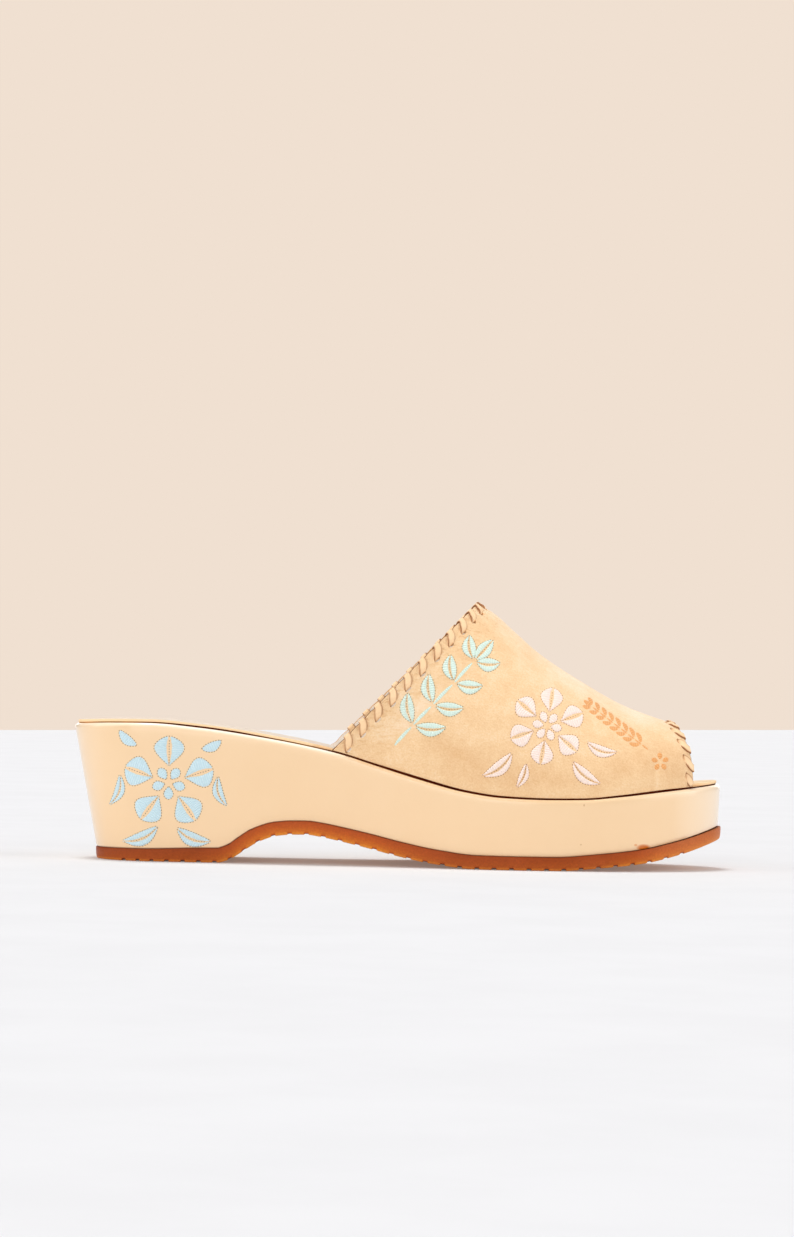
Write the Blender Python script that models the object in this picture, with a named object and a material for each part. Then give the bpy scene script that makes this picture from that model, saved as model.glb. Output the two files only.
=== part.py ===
"""Wedge mule, a right shoe: an open-toed upper, laced with a flat thong along its two edges,
on a leather-covered wedge with a ribbed rubber outsole.

Axes: +X from heel to toe, +Y towards the inner, big-toe side, +Z up. The origin lies on the floor
under the middle of the shoe. Sizes are in millimetres, and MM turns them into Blender's metres.
Stations are distances along X from the back of the heel.
"""

import math

import bmesh
import bpy
from mathutils import Vector

MM = 0.001

# Driving sizes
LENGTH = 252.5
FIT_GAP = 0.3
WALL = 1.8

# Plan of the wedge's top edge. The half widths are those before the two ends are rounded off.
PLAN_COLUMNS = ("station", "centre", "half_width")
PLAN = (
    (0, 0.0, 30.0),
    (32, 0.0, 30.2),
    (72, -1.5, 29.4),
    (106, -3.2, 30.4),
    (138, -3.0, 36.4),
    (162, -1.6, 41.6),
    (178, 0.0, 43.4),
    (202, 1.4, 42.0),
    (228, 2.8, 39.0),
    (252.5, 3.2, 36.5),
)
HEEL_ROUND = 31.0
TOE_ROUND = 52.0

# Heights of the outsole's underside, the wedge's top and the upper's top line.
# The top line's first two rows lie behind the collar and only steer the shape of the sides.
HEIGHT_COLUMNS = ("station", "height")
UNDERSIDE = (
    (0, 0.0),
    (55, 0.0),
    (60, 1.2),
    (65, 4.0),
    (69.5, 6.9),
    (74, 9.1),
    (79, 10.7),
    (85.5, 11.4),
    (91.5, 11.5),
    (97, 10.8),
    (105, 9.2),
    (112.5, 7.5),
    (128, 3.8),
    (140, 1.6),
    (157, 0.0),
    (187, 0.0),
    (204, 1.2),
    (220, 2.9),
    (236, 6.5),
    (252.5, 11.9),
)
WEDGE_TOP = (
    (0, 52.4),
    (14, 53.0),
    (30, 53.2),
    (50, 51.7),
    (70, 49.1),
    (102, 43.2),
    (119, 38.1),
    (135, 33.4),
    (152, 29.2),
    (166, 27.4),
    (183, 26.9),
    (197, 27.1),
    (212, 28.4),
    (228, 30.3),
    (252.5, 33.2),
)
TOP_LINE = (
    (98, 150.0),
    (140, 115.0),
    (156.6, 102.0),
    (163, 98.2),
    (171, 91.3),
    (180, 83.6),
    (197, 72.6),
    (214, 63.4),
    (231, 57.4),
    (252.5, 52.0),
)

# Outsole: rubber sheet bent round the wedge's underside, with grooves right across it
SHEET_COLUMNS = ("station", "thickness")
SHEET = (
    (0, 4.6),
    (26, 4.9),
    (54, 5.6),
    (90, 5.3),
    (130, 5.6),
    (174, 5.2),
    (226, 5.5),
    (252.5, 4.9),
)
OUTSOLE_MARGIN_HEEL = 0.2
OUTSOLE_MARGIN_TOE = 1.1
OUTSOLE_UNDERCUT = 0.5
OUTSOLE_UNDERCUT_TOP = 0.45
GROOVE_PITCH = 6.6
GROOVE_MOUTH = 2.1
GROOVE_FLOOR = 1.3
GROOVE_DEPTH = 0.8
GROOVE_FIRST = 14.0
GROOVE_LAST = 238.0

# Wedge: its side leans in towards the floor, most of all at the back of the heel
SIDE_TAPER_HEEL = 3.6
SIDE_TAPER_TOE = 0.6
HEEL_LEAN = 5.6
HEEL_LEAN_REACH = 96.0
WEDGE_SIDE_LEVELS = (0.35, 0.7)
WEDGE_EDGE_RADIUS = 1.5
WEDGE_EDGE_STEPS = 3
MIDDLE = (LENGTH + OUTSOLE_MARGIN_TOE - SIDE_TAPER_TOE) / 2

# Insole: a leather sock that is notched inwards where the upper goes down outside it
INSOLE_THICK = 1.2
INSOLE_EDGE_RADIUS = 0.4
INSOLE_INSET_OPEN = 1.5
INSOLE_INSET_UNDER_UPPER = 3.9
INSOLE_NOTCH_RUN = 4.0
INSOLE_NOTCH_CLEAR = 3.0

# Upper: sections are super-ellipses from one feather edge over the foot to the other.
# Each has the power that rounds its shoulders, and its ridge's shift towards the inner side.
UPPER_INSET = 1.4
UPPER_LIFT = 0.5
SECTION_COLUMNS = ("station", "power", "ridge_shift")
SECTIONS = (
    (98, 1.8, 5.0),
    (160, 1.95, 5.8),
    (188, 2.14, 6.0),
    (240, 2.3, 2.0),
)
COLLAR_FOOT_OUTER = 102.0
COLLAR_FOOT_INNER = 98.5
COLLAR_TOP_STATION = 156.6
COLLAR_FOOT_HEIGHT = 43.5
COLLAR_TOP_HEIGHT = 102.0
TOE_FOOT_STATION = 240.5
TOE_FOOT_HEIGHT = 33.0
TOE_RISE = 24.0
TOE_RAKE = 6.6
TOE_RAKE_POWER = 2.6
TOE_RISEN_MOST = 1.2
ROWS_ROUND = 30
ROWS_ALONG = 22

# Thong: a flat leather lace that slants over an edge and back up through punched slots.
# It moves on along the edge by its outer advance, a share of the pitch, on each outer crossing,
# and its last crossing is tucked away at a share of the way to the edge.
THONG_WIDTH = 2.7
THONG_THICK = 1.0
THONG_CLEAR = 0.5
SLOT_CLEAR = 0.65
SLOT_END_CLEAR = 1.0
SLOT_PULL = 0.25
PUNCH_OVERSHOOT = 1.2
LEG_REACH = 0.7
OUTER_ADVANCE = 0.56
TUCKED_AT = 0.7
TURN_STEPS = 3
COLLAR_STITCHES = 23
COLLAR_FIRST_SLOT = 5.0
COLLAR_LAST_SLOT = 4.8
TOE_STITCHES = 10
TOE_FIRST_SLOT = 7.0
TOE_LAST_SLOT = 4.1

# Finishes: base colour, roughness
NUDE_LEATHER = ((0.93, 0.66, 0.40), 0.32)
SOCK_LEATHER = ((0.92, 0.67, 0.40), 0.50)
SUEDE = ((0.88, 0.60, 0.34), 0.85)
THONG_LEATHER = ((0.90, 0.62, 0.36), 0.60)
GUM_RUBBER = ((0.42, 0.12, 0.03), 0.45)


def smooth_curve(rows):
    """A function through (station, value) rows that never overshoots: a monotone cubic."""
    xs = [row[0] for row in rows]
    ys = [row[1] for row in rows]
    last = len(rows) - 1
    steps = [xs[i + 1] - xs[i] for i in range(last)]
    slopes = [(ys[i + 1] - ys[i]) / steps[i] for i in range(last)]
    tangents = [slopes[0]]
    for i in range(1, last):
        before, after = slopes[i - 1], slopes[i]
        if before * after <= 0:
            tangents.append(0.0)
            continue
        weight_before = 2 * steps[i] + steps[i - 1]
        weight_after = steps[i] + 2 * steps[i - 1]
        tangents.append((weight_before + weight_after) / (weight_before / before + weight_after / after))
    tangents.append(slopes[-1])

    def value(x):
        x = min(max(x, xs[0]), xs[-1])
        i = 0
        while i < last - 1 and x > xs[i + 1]:
            i += 1
        t = (x - xs[i]) / steps[i]
        near = (1 + 2 * t) * (1 - t) ** 2 * ys[i] + t * t * (3 - 2 * t) * ys[i + 1]
        turn = t * (1 - t) ** 2 * tangents[i] - t * t * (1 - t) * tangents[i + 1]
        return near + steps[i] * turn

    return value


def column(table, columns, name):
    """A table's named column as a smooth function of the station."""
    at = columns.index(name)
    return smooth_curve([(row[0], row[at]) for row in table])


plan_centre = column(PLAN, PLAN_COLUMNS, "centre")
plan_half_width = column(PLAN, PLAN_COLUMNS, "half_width")
underside = column(UNDERSIDE, HEIGHT_COLUMNS, "height")
sheet_thickness = column(SHEET, SHEET_COLUMNS, "thickness")
wedge_top = column(WEDGE_TOP, HEIGHT_COLUMNS, "height")
top_line = column(TOP_LINE, HEIGHT_COLUMNS, "height")
section_power = column(SECTIONS, SECTION_COLUMNS, "power")
ridge_shift = column(SECTIONS, SECTION_COLUMNS, "ridge_shift")


def mix(first, second, share):
    return first + (second - first) * share


def ease(share):
    """0 to 1 with level ends."""
    share = min(max(share, 0.0), 1.0)
    return share * share * (3 - 2 * share)


def slope(curve, station, reach=0.5):
    return (curve(station + reach) - curve(station - reach)) / (2 * reach)


def half_width(station):
    """Half the width of the wedge's top, with both ends rounded as ellipses."""
    width = plan_half_width(station)
    for inside, round_length in ((station, HEEL_ROUND), (LENGTH - station, TOE_ROUND)):
        if inside < round_length:
            width *= math.sqrt(max(0.0, 1 - (1 - inside / round_length) ** 2))
    return width


def wedge_bottom(station):
    """The outsole's underside raised by its thickness, measured square to the sheet."""
    leaning = slope(underside, station)
    return underside(station) + sheet_thickness(station) * math.sqrt(1 + leaning * leaning)


def plain_stations(step):
    """Stations from heel to toe, closer together round the two ends."""
    quarter = [math.pi / 2 * i / 9 for i in range(10)]
    heel = [HEEL_ROUND * (1 - math.cos(a)) for a in quarter]
    toe = [LENGTH - TOE_ROUND * (1 - math.cos(a)) for a in reversed(quarter)]
    count = round((toe[0] - heel[-1]) / step)
    middle = [mix(heel[-1], toe[0], i / count) for i in range(1, count)]
    return heel + middle + toe


def outline(stations):
    """The wedge's top edge as (station, y, outward normal): outer side heel to toe, then back."""
    points = [(s, plan_centre(s) - half_width(s)) for s in stations]
    points += [(s, plan_centre(s) + half_width(s)) for s in reversed(stations[1:-1])]
    found = []
    for i, (s, y) in enumerate(points):
        before, after = points[i - 1], points[(i + 1) % len(points)]
        along = Vector((after[0] - before[0], after[1] - before[1])).normalized()
        found.append((s, y, Vector((along.y, -along.x))))
    return found


def inset_ring(stations, inset, height, lean=0.0):
    """The outline moved inwards by inset(station), at height(station), and forward at the heel."""
    ring = []
    for s, y, outward in outline(stations):
        moved = s - outward.x * inset(s)
        moved += lean * (1 - ease(s / HEEL_LEAN_REACH))
        ring.append(Vector((moved - MIDDLE, y - outward.y * inset(s), height(s))))
    return ring


def side_taper(station):
    return mix(SIDE_TAPER_HEEL, SIDE_TAPER_TOE, ease(station / LENGTH))


def outsole_margin(station):
    return mix(OUTSOLE_MARGIN_HEEL, OUTSOLE_MARGIN_TOE, ease(station / LENGTH))


def add_object(name, mesh_builder, finish):
    """Makes the object from a bmesh in millimetres and gives it its own material."""
    colour, roughness = finish
    mesh = bpy.data.meshes.new(name)
    for vertex in mesh_builder.verts:
        vertex.co *= MM
    mesh_builder.normal_update()
    mesh_builder.to_mesh(mesh)
    mesh_builder.free()
    material = bpy.data.materials.new(name + "_finish")
    material.use_nodes = True
    shader = material.node_tree.nodes["Principled BSDF"]
    shader.inputs["Base Color"].default_value = (*colour, 1.0)
    shader.inputs["Roughness"].default_value = roughness
    shader.inputs["Metallic"].default_value = 0.0
    mesh.materials.append(material)
    mesh.shade_smooth()
    mesh.set_sharp_from_angle(angle=math.radians(35))
    obj = bpy.data.objects.new(name, mesh)
    bpy.context.scene.collection.objects.link(obj)
    return obj


def loft(rings):
    """A closed solid through rings of equal count, each running heel to toe and back.

    Rings go from the lowest to the highest. The end rings are closed by strips across the shoe.
    """
    builder = bmesh.new()
    made = [[builder.verts.new(point) for point in ring] for ring in rings]
    count = len(rings[0])
    for lower, upper in zip(made, made[1:]):
        for i in range(count):
            k = (i + 1) % count
            builder.faces.new((lower[i], lower[k], upper[k], upper[i]))
    tip = count // 2
    for ring, faces_up in ((made[0], False), (made[-1], True)):
        for i in range(tip):
            corners = [ring[i], ring[i + 1], ring[count - i - 1], ring[-i % count]]
            corners = [c for n, c in enumerate(corners) if c not in corners[:n]]
            builder.faces.new(corners if faces_up else corners[::-1])
    return builder


def build_wedge():
    """The wedge and its leather cover: one solid with a rounded top edge."""
    stations = plain_stations(5.0)
    rings = [inset_ring(stations, side_taper, wedge_bottom, HEEL_LEAN)]
    for level in WEDGE_SIDE_LEVELS:
        rings.append(
            inset_ring(
                stations,
                lambda s, k=level: side_taper(s) * (1 - k),
                lambda s, k=level: mix(wedge_bottom(s), wedge_top(s) - WEDGE_EDGE_RADIUS, k),
                HEEL_LEAN * (1 - level),
            )
        )
    for step in range(WEDGE_EDGE_STEPS + 1):
        turn = math.pi / 2 * step / WEDGE_EDGE_STEPS
        sunk = WEDGE_EDGE_RADIUS * (1 - math.sin(turn))
        drawn_in = WEDGE_EDGE_RADIUS * (1 - math.cos(turn))
        rings.append(
            inset_ring(stations, lambda s, d=drawn_in: d, lambda s, d=sunk: wedge_top(s) - d)
        )
    return add_object("wedge", loft(rings), NUDE_LEATHER)


def groove_stations():
    """Stations of the grooves' middles, pitched along the bent sheet itself."""
    found = []
    station = GROOVE_FIRST
    while station < GROOVE_LAST:
        found.append(station)
        run = 0.0
        while run < GROOVE_PITCH:
            station += 0.1
            run += 0.1 * math.sqrt(1 + slope(underside, station) ** 2)
    return found


def build_outsole():
    """The rubber sheet under the wedge, its grooves running out through both sides."""
    centres = groove_stations()
    floors = [c + side * GROOVE_FLOOR / 2 for c in centres for side in (-1, 1)]
    mouths = [c + side * GROOVE_MOUTH / 2 for c in centres for side in (-1, 1)]
    clear_of_grooves = [
        s for s in plain_stations(5.0) if min(abs(s - c) for c in centres) > 0.7 * GROOVE_MOUTH
    ]
    stations = sorted(floors + mouths + clear_of_grooves)
    floor_set = set(floors)

    def tread(s):
        return underside(s) + (GROOVE_DEPTH if s in floor_set else 0.0)

    def top_inset(s):
        return side_taper(s) - outsole_margin(s)

    def foot_inset(s):
        return top_inset(s) + OUTSOLE_UNDERCUT

    def upper_face(s):
        return wedge_bottom(s) - FIT_GAP

    def lip_height(s):
        return mix(underside(s), upper_face(s), OUTSOLE_UNDERCUT_TOP)

    rings = [
        inset_ring(stations, foot_inset, tread, HEEL_LEAN),
        inset_ring(stations, top_inset, lip_height, HEEL_LEAN),
        inset_ring(stations, top_inset, upper_face, HEEL_LEAN),
    ]
    return add_object("outsole", loft(rings), GUM_RUBBER)


def insole_inset(station):
    """Close to the wedge's edge at heel and toe, and inside the upper's wall between them."""
    start = COLLAR_FOOT_INNER - INSOLE_NOTCH_CLEAR
    end = TOE_FOOT_STATION + INSOLE_NOTCH_CLEAR
    covered = ease((station - start) / INSOLE_NOTCH_RUN + 1) * ease((end - station) / INSOLE_NOTCH_RUN + 1)
    return mix(INSOLE_INSET_OPEN, INSOLE_INSET_UNDER_UPPER, covered)


def build_insole():
    start = COLLAR_FOOT_INNER - INSOLE_NOTCH_CLEAR
    end = TOE_FOOT_STATION + INSOLE_NOTCH_CLEAR
    notches = [start - INSOLE_NOTCH_RUN * k for k in (1, 0.6, 0.3, 0)]
    notches += [end + INSOLE_NOTCH_RUN * k for k in (0, 0.3, 0.6, 1)]
    plain = [s for s in plain_stations(5.5) if min(abs(s - n) for n in notches) > 0.8]
    stations = sorted(plain + notches)
    rings = [
        inset_ring(stations, insole_inset, lambda s: wedge_top(s) + FIT_GAP),
        inset_ring(
            stations,
            insole_inset,
            lambda s: wedge_top(s) + FIT_GAP + INSOLE_THICK - INSOLE_EDGE_RADIUS,
        ),
        inset_ring(
            stations,
            lambda s: insole_inset(s) + INSOLE_EDGE_RADIUS,
            lambda s: wedge_top(s) + FIT_GAP + INSOLE_THICK,
        ),
    ]
    return add_object("insole", loft(rings), SOCK_LEATHER)


def section_sizes(station):
    """Centre, half width, base height, rise, power and ridge shift of the upper's section."""
    narrowing = slope(half_width, min(station, LENGTH - 1.0))
    width = half_width(station) - UPPER_INSET * math.sqrt(1 + narrowing * narrowing)
    base = wedge_top(station) + UPPER_LIFT
    rise = top_line(station) - base
    return plan_centre(station), width, base, rise, section_power(station), ridge_shift(station)


def upper_point(station, angle):
    """The upper's outer face: angle 0 is the outer feather edge, pi the inner one."""
    centre, width, base, rise, power, shift = section_sizes(station)
    across = math.copysign(abs(math.cos(angle)) ** (2 / power), math.cos(angle))
    up = max(math.sin(angle), 0.0) ** (2 / power)
    return Vector((station - MIDDLE, centre - width * across + shift * up, base + rise * up))


def on_upper(point):
    """The point moved on to the upper's outer face within its own cross section."""
    centre, width, base, rise, power, shift = section_sizes(point.x + MIDDLE)
    up = max(point.z - base, 0.0) / rise
    across = (point.y - centre - shift * up) / width
    scale = (abs(across) ** power + up**power) ** (-1 / power)
    up *= scale
    return Vector((point.x, centre + width * across * scale + shift * up, base + rise * up))


def upper_depth(point):
    """Below 1 inside the upper's outer face, and above 1 outside it."""
    centre, width, base, rise, power, shift = section_sizes(point.x + MIDDLE)
    up = max(point.z - base, 0.0) / rise
    across = abs(point.y - centre - shift * up) / width
    return across**power + up**power


def upper_normal(point, reach=0.2):
    gradient = Vector((0.0, 0.0, 0.0))
    for axis in range(3):
        step = Vector((0.0, 0.0, 0.0))
        step[axis] = reach
        gradient[axis] = upper_depth(point + step) - upper_depth(point - step)
    return gradient.normalized()


def collar_gap(station, angle):
    """How far a point of the upper lies ahead of the collar's slanting cut."""
    point = upper_point(station, angle)
    towards_inner = min(max((1 - math.cos(angle)) / 2, 0.0), 1.0)
    foot = mix(COLLAR_FOOT_OUTER, COLLAR_FOOT_INNER, towards_inner)
    risen = (point.z - COLLAR_FOOT_HEIGHT) / (COLLAR_TOP_HEIGHT - COLLAR_FOOT_HEIGHT)
    return station - mix(foot, COLLAR_TOP_STATION, risen)


def toe_gap(station, angle):
    """How far a point of the upper lies ahead of the toe opening's raked cut."""
    risen = (upper_point(station, angle).z - TOE_FOOT_HEIGHT) / TOE_RISE
    risen = min(max(risen, 0.0), TOE_RISEN_MOST)
    return station - (TOE_FOOT_STATION - TOE_RAKE * risen**TOE_RAKE_POWER)


def edge_station(gap, angle):
    """The station where a cut meets the upper at this angle, found by halving."""
    low, high = COLLAR_FOOT_INNER - 10, LENGTH - 4
    for _ in range(40):
        middle = (low + high) / 2
        if gap(middle, angle) < 0:
            low = middle
        else:
            high = middle
    return (low + high) / 2


def upper_face(rows_round, rows_along):
    """The upper's outer face as an open sheet, from the collar's cut to the toe opening's."""
    builder = bmesh.new()
    grid = []
    for i in range(rows_round + 1):
        angle = math.pi * i / rows_round
        collar, toe = edge_station(collar_gap, angle), edge_station(toe_gap, angle)
        line = [upper_point(mix(collar, toe, k / rows_along), angle) for k in range(rows_along + 1)]
        grid.append([builder.verts.new(point) for point in line])
    for low, high in zip(grid, grid[1:]):
        for k in range(rows_along):
            builder.faces.new((low[k], low[k + 1], high[k + 1], high[k]))
    return builder


def edge_line(gap, reverse):
    """An edge of the upper as points, with the distance run along it at each."""
    angles = [math.pi * i / 240 for i in range(241)]
    if reverse:
        angles.reverse()
    points = [upper_point(edge_station(gap, a), a) for a in angles]
    runs = [0.0]
    for before, after in zip(points, points[1:]):
        runs.append(runs[-1] + (after - before).length)
    return points, runs


def edge_frame(line, run, into_x):
    """Point, direction along the edge, outward normal and direction into the leather."""
    points, runs = line
    i = 0
    while i < len(runs) - 2 and run > runs[i + 1]:
        i += 1
    point = points[i].lerp(points[i + 1], (run - runs[i]) / (runs[i + 1] - runs[i]))
    along = (points[i + 1] - points[i]).normalized()
    normal = upper_normal(point)
    into = normal.cross(along).normalized()
    if into.x * into_x < 0:
        into = -into
    return point, along, normal, into


def wall_point(line, run, depth, into_x):
    """A place on the outer face at a depth from the edge, with its normal and directions."""
    point, along, normal, into = edge_frame(line, run, into_x)
    if depth <= 0:
        return point, along, normal, into
    place = on_upper(point + into * depth)
    normal = upper_normal(place)
    into = (into - normal * into.dot(normal)).normalized()
    return place, along, normal, into


def slot_runs(line, stitches, first, last):
    length = line[1][-1]
    return [mix(first, length - last, i / (stitches - 1)) for i in range(stitches)]


def thong_swing():
    """Radius of the thong's middle as it turns about the middle of the wall."""
    return WALL / 2 + THONG_CLEAR + THONG_THICK / 2


def crossing():
    """A crossing from the middle of a slot to over the edge: rows of (depth, turned, bulge).

    turned is the share of a quarter turn away from the wall's face, and bulge says which way the
    turn swings: 1 into the leather, through the slot, and -1 out over the edge.
    """
    quarter = [i / TURN_STEPS for i in range(TURN_STEPS + 1)]
    return [(LEG_REACH, 1 - share, 1) for share in quarter] + [(0.0, share, -1) for share in quarter]


def thong_path(line, slots, into_x):
    """Centre line of the thong, with the direction away from the middle of the wall at each point.

    From each slot it slants up the outer face, over the edge, and down inside to the next slot.
    """
    pitch = slots[1] - slots[0]
    swing = thong_swing()
    outer = crossing()
    inner = outer[-2:0:-1]
    path = []

    def add(slot, row, inside):
        depth, turned, bulge = row
        around = math.pi / 2 * turned
        reach = depth + bulge * swing * math.sin(around)
        crossed = (LEG_REACH + swing - reach) / (LEG_REACH + 2 * swing)
        advance = 1 - (1 - OUTER_ADVANCE) * crossed if inside else OUTER_ADVANCE * crossed
        place, along, normal, into = wall_point(line, slot + pitch * advance, depth, into_x)
        side = -1 if inside else 1
        away = normal * (side * math.cos(around)) + into * (bulge * math.sin(around))
        path.append((place - normal * (WALL / 2) + away * swing, away))
        return crossed

    for row in inner:
        if row[2] == 1:
            add(slots[0] - pitch, row, inside=True)
    for slot in slots[:-1]:
        for row in outer:
            add(slot, row, inside=False)
        for row in inner:
            add(slot, row, inside=True)
    for row in outer:
        if add(slots[-1], row, inside=False) > TUCKED_AT:
            path.pop()
            break
    return path


def ribbon(path):
    """A flat strip of the thong's section along a path, with one face to the wall."""
    builder = bmesh.new()
    rings = []
    for i, (point, away) in enumerate(path):
        before, after = path[max(i - 1, 0)][0], path[min(i + 1, len(path) - 1)][0]
        ahead = (after - before).normalized()
        thick = (away - ahead * away.dot(ahead)).normalized() * (THONG_THICK / 2)
        width = thick.cross(ahead).normalized() * (THONG_WIDTH / 2)
        corners = (point - width - thick, point + width - thick, point + width + thick, point - width + thick)
        rings.append([builder.verts.new(corner) for corner in corners])
    for first, second in zip(rings, rings[1:]):
        for k in range(4):
            n = (k + 1) % 4
            builder.faces.new((first[k], first[n], second[n], second[k]))
    builder.faces.new(rings[0][::-1])
    builder.faces.new(rings[-1])
    bmesh.ops.recalc_face_normals(builder, faces=builder.faces)
    return builder


def slot_cutter(placed_slots):
    """Boxes through the wall, one for each punched slot, as one hidden mesh."""
    builder = bmesh.new()
    half_width = THONG_WIDTH / 2 + SLOT_END_CLEAR
    half_thick = THONG_THICK / 2 + SLOT_CLEAR
    slot_depth = LEG_REACH + thong_swing() - SLOT_PULL
    for line, run, into_x in placed_slots:
        place, along, normal, into = wall_point(line, run, slot_depth, into_x)
        sideways = into.cross(normal).normalized()
        corners = []
        for through in (-WALL - PUNCH_OVERSHOOT, PUNCH_OVERSHOOT):
            for a, b in ((-1, -1), (1, -1), (1, 1), (-1, 1)):
                offset = sideways * (a * half_width) + into * (b * half_thick) + normal * through
                corners.append(builder.verts.new(place + offset))
        low, high = corners[:4], corners[4:]
        builder.faces.new(low[::-1])
        builder.faces.new(high)
        for k in range(4):
            n = (k + 1) % 4
            builder.faces.new((low[k], low[n], high[n], high[k]))
    bmesh.ops.recalc_face_normals(builder, faces=builder.faces)
    cutter = add_object("slot_cutter", builder, SUEDE)
    cutter.hide_render = True
    cutter.display_type = "WIRE"
    return cutter


def build_upper(cutter):
    upper = add_object("upper", upper_face(ROWS_ROUND, ROWS_ALONG), SUEDE)
    wall = upper.modifiers.new("wall", "SOLIDIFY")
    wall.thickness = WALL * MM
    wall.offset = -1.0
    wall.use_even_offset = True
    wall.use_rim = True
    punch = upper.modifiers.new("punched_slots", "BOOLEAN")
    punch.operation = "DIFFERENCE"
    punch.solver = "EXACT"
    punch.object = cutter
    return upper


def clear_scene():
    for obj in list(bpy.data.objects):
        bpy.data.objects.remove(obj, do_unlink=True)


def main():
    clear_scene()
    build_outsole()
    build_wedge()
    build_insole()
    collar = edge_line(collar_gap, reverse=False)
    toe = edge_line(toe_gap, reverse=True)
    collar_slots = slot_runs(collar, COLLAR_STITCHES, COLLAR_FIRST_SLOT, COLLAR_LAST_SLOT)
    toe_slots = slot_runs(toe, TOE_STITCHES, TOE_FIRST_SLOT, TOE_LAST_SLOT)
    placed = [(collar, run, 1) for run in collar_slots] + [(toe, run, -1) for run in toe_slots]
    build_upper(slot_cutter(placed))
    add_object("collar_thong", ribbon(thong_path(collar, collar_slots, 1)), THONG_LEATHER)
    add_object("toe_thong", ribbon(thong_path(toe, toe_slots, -1)), THONG_LEATHER)


main()
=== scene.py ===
"""The looks of a wedge mule, a right shoe, put together from the floor up.

Every section is one piece of the shoe, in the order in which it is made: outsole, wedge, board edge,
insole, upper, lacings and embroidery, and then the studio that it stands in. The shoe's sizes are in
millimetres, and MM turns them into the frame's metres. The studio's sizes are in metres. A station is
a distance along the shoe from the heel's back.
"""

import math
import random
from collections import namedtuple

import bpy
from mathutils import Matrix, Vector


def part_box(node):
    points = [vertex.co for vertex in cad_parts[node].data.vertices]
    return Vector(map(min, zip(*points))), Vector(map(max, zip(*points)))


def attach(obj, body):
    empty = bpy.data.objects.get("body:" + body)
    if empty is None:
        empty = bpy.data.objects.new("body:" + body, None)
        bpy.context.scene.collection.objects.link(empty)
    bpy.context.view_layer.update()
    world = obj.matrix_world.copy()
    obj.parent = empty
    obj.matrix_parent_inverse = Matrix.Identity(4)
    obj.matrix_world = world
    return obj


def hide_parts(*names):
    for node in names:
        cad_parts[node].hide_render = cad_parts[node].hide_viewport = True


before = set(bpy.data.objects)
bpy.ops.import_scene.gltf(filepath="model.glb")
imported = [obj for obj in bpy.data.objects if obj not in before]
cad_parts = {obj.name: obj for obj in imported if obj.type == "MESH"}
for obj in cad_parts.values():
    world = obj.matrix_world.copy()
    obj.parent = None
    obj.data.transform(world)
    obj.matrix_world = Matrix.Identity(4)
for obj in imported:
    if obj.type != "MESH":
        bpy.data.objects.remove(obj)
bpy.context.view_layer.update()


# Outsole
# A sheet of gum rubber, about five millimetres thick, bent along the wedge's underside and glued on.
# Grooves are moulded right across its tread, with painted shade inside them. Its lower lip is a paler amber
# than its upper edge, partly a painted highlight, and its arch and toe are painted lit by bounce light.
MM = 0.001
wedge_low, wedge_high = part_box("wedge")
HEEL_X = wedge_low.x
LENGTH = (wedge_high.x - wedge_low.x) / MM

# The plan's rows: station, the centre line's place across the shoe, and half the width there.
PLAN = (
    (0, 0.0, 30.0),
    (32, 0.0, 30.2),
    (72, -1.5, 29.4),
    (106, -3.2, 30.4),
    (138, -3.0, 36.4),
    (162, -1.6, 41.6),
    (178, 0.0, 43.4),
    (202, 1.4, 42.0),
    (228, 2.8, 39.0),
    (252.5, 3.2, 36.5),
)
HEEL_ROUND = 31.0
TOE_ROUND = 52.0
# Tables of two columns are (station, value) rows: here the underside's height and the sheet's thickness.
UNDERSIDE = (
    (0, 0.0), (55, 0.0), (60, 1.2), (65, 4.0), (69.5, 6.9), (74, 9.1), (79, 10.7), (85.5, 11.4), (91.5, 11.5),
    (97, 10.8), (105, 9.2), (112.5, 7.5), (128, 3.8), (140, 1.6), (157, 0.0), (187, 0.0), (204, 1.2),
    (220, 2.9), (236, 6.5), (252.5, 11.9),
)
SHEET = ((0, 4.6), (26, 4.9), (54, 5.6), (90, 5.3), (130, 5.6), (174, 5.2), (226, 5.5), (252.5, 4.9))
OUTSOLE_MARGIN_HEEL = 0.2
OUTSOLE_MARGIN_TOE = 1.1
SIDE_TAPER_HEEL = 3.6
SIDE_TAPER_TOE = 0.6
HEEL_LEAN = 5.6
HEEL_LEAN_REACH = 96.0
JOINT_GAP = 0.08
MERGE_WITHIN = 0.001


def smooth_curve(rows):
    """A function through (station, value) rows that never overshoots: a monotone cubic."""
    xs, ys = zip(*rows)
    last = len(xs) - 1
    steps = [xs[i + 1] - xs[i] for i in range(last)]
    slopes = [(ys[i + 1] - ys[i]) / steps[i] for i in range(last)]
    tangents = [slopes[0]]
    for i in range(1, last):
        before, after = slopes[i - 1], slopes[i]
        if before * after <= 0:
            tangents.append(0.0)
            continue
        weight_before = 2 * steps[i] + steps[i - 1]
        weight_after = steps[i] + 2 * steps[i - 1]
        tangents.append((weight_before + weight_after) / (weight_before / before + weight_after / after))
    tangents.append(slopes[-1])

    def value(x):
        x = min(max(x, xs[0]), xs[-1])
        i = 0
        while i < last - 1 and x > xs[i + 1]:
            i += 1
        t = (x - xs[i]) / steps[i]
        near = (1 + 2 * t) * (1 - t) ** 2 * ys[i] + t * t * (3 - 2 * t) * ys[i + 1]
        turn = t * (1 - t) ** 2 * tangents[i] - t * t * (1 - t) * tangents[i + 1]
        return near + steps[i] * turn

    return value


def mix(first, second, share):
    return first + (second - first) * share


def ease(share):
    """0 to 1 with level ends."""
    share = min(max(share, 0.0), 1.0)
    return share * share * (3 - 2 * share)


def slope(curve, station, reach=0.5):
    return (curve(station + reach) - curve(station - reach)) / (2 * reach)


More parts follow.
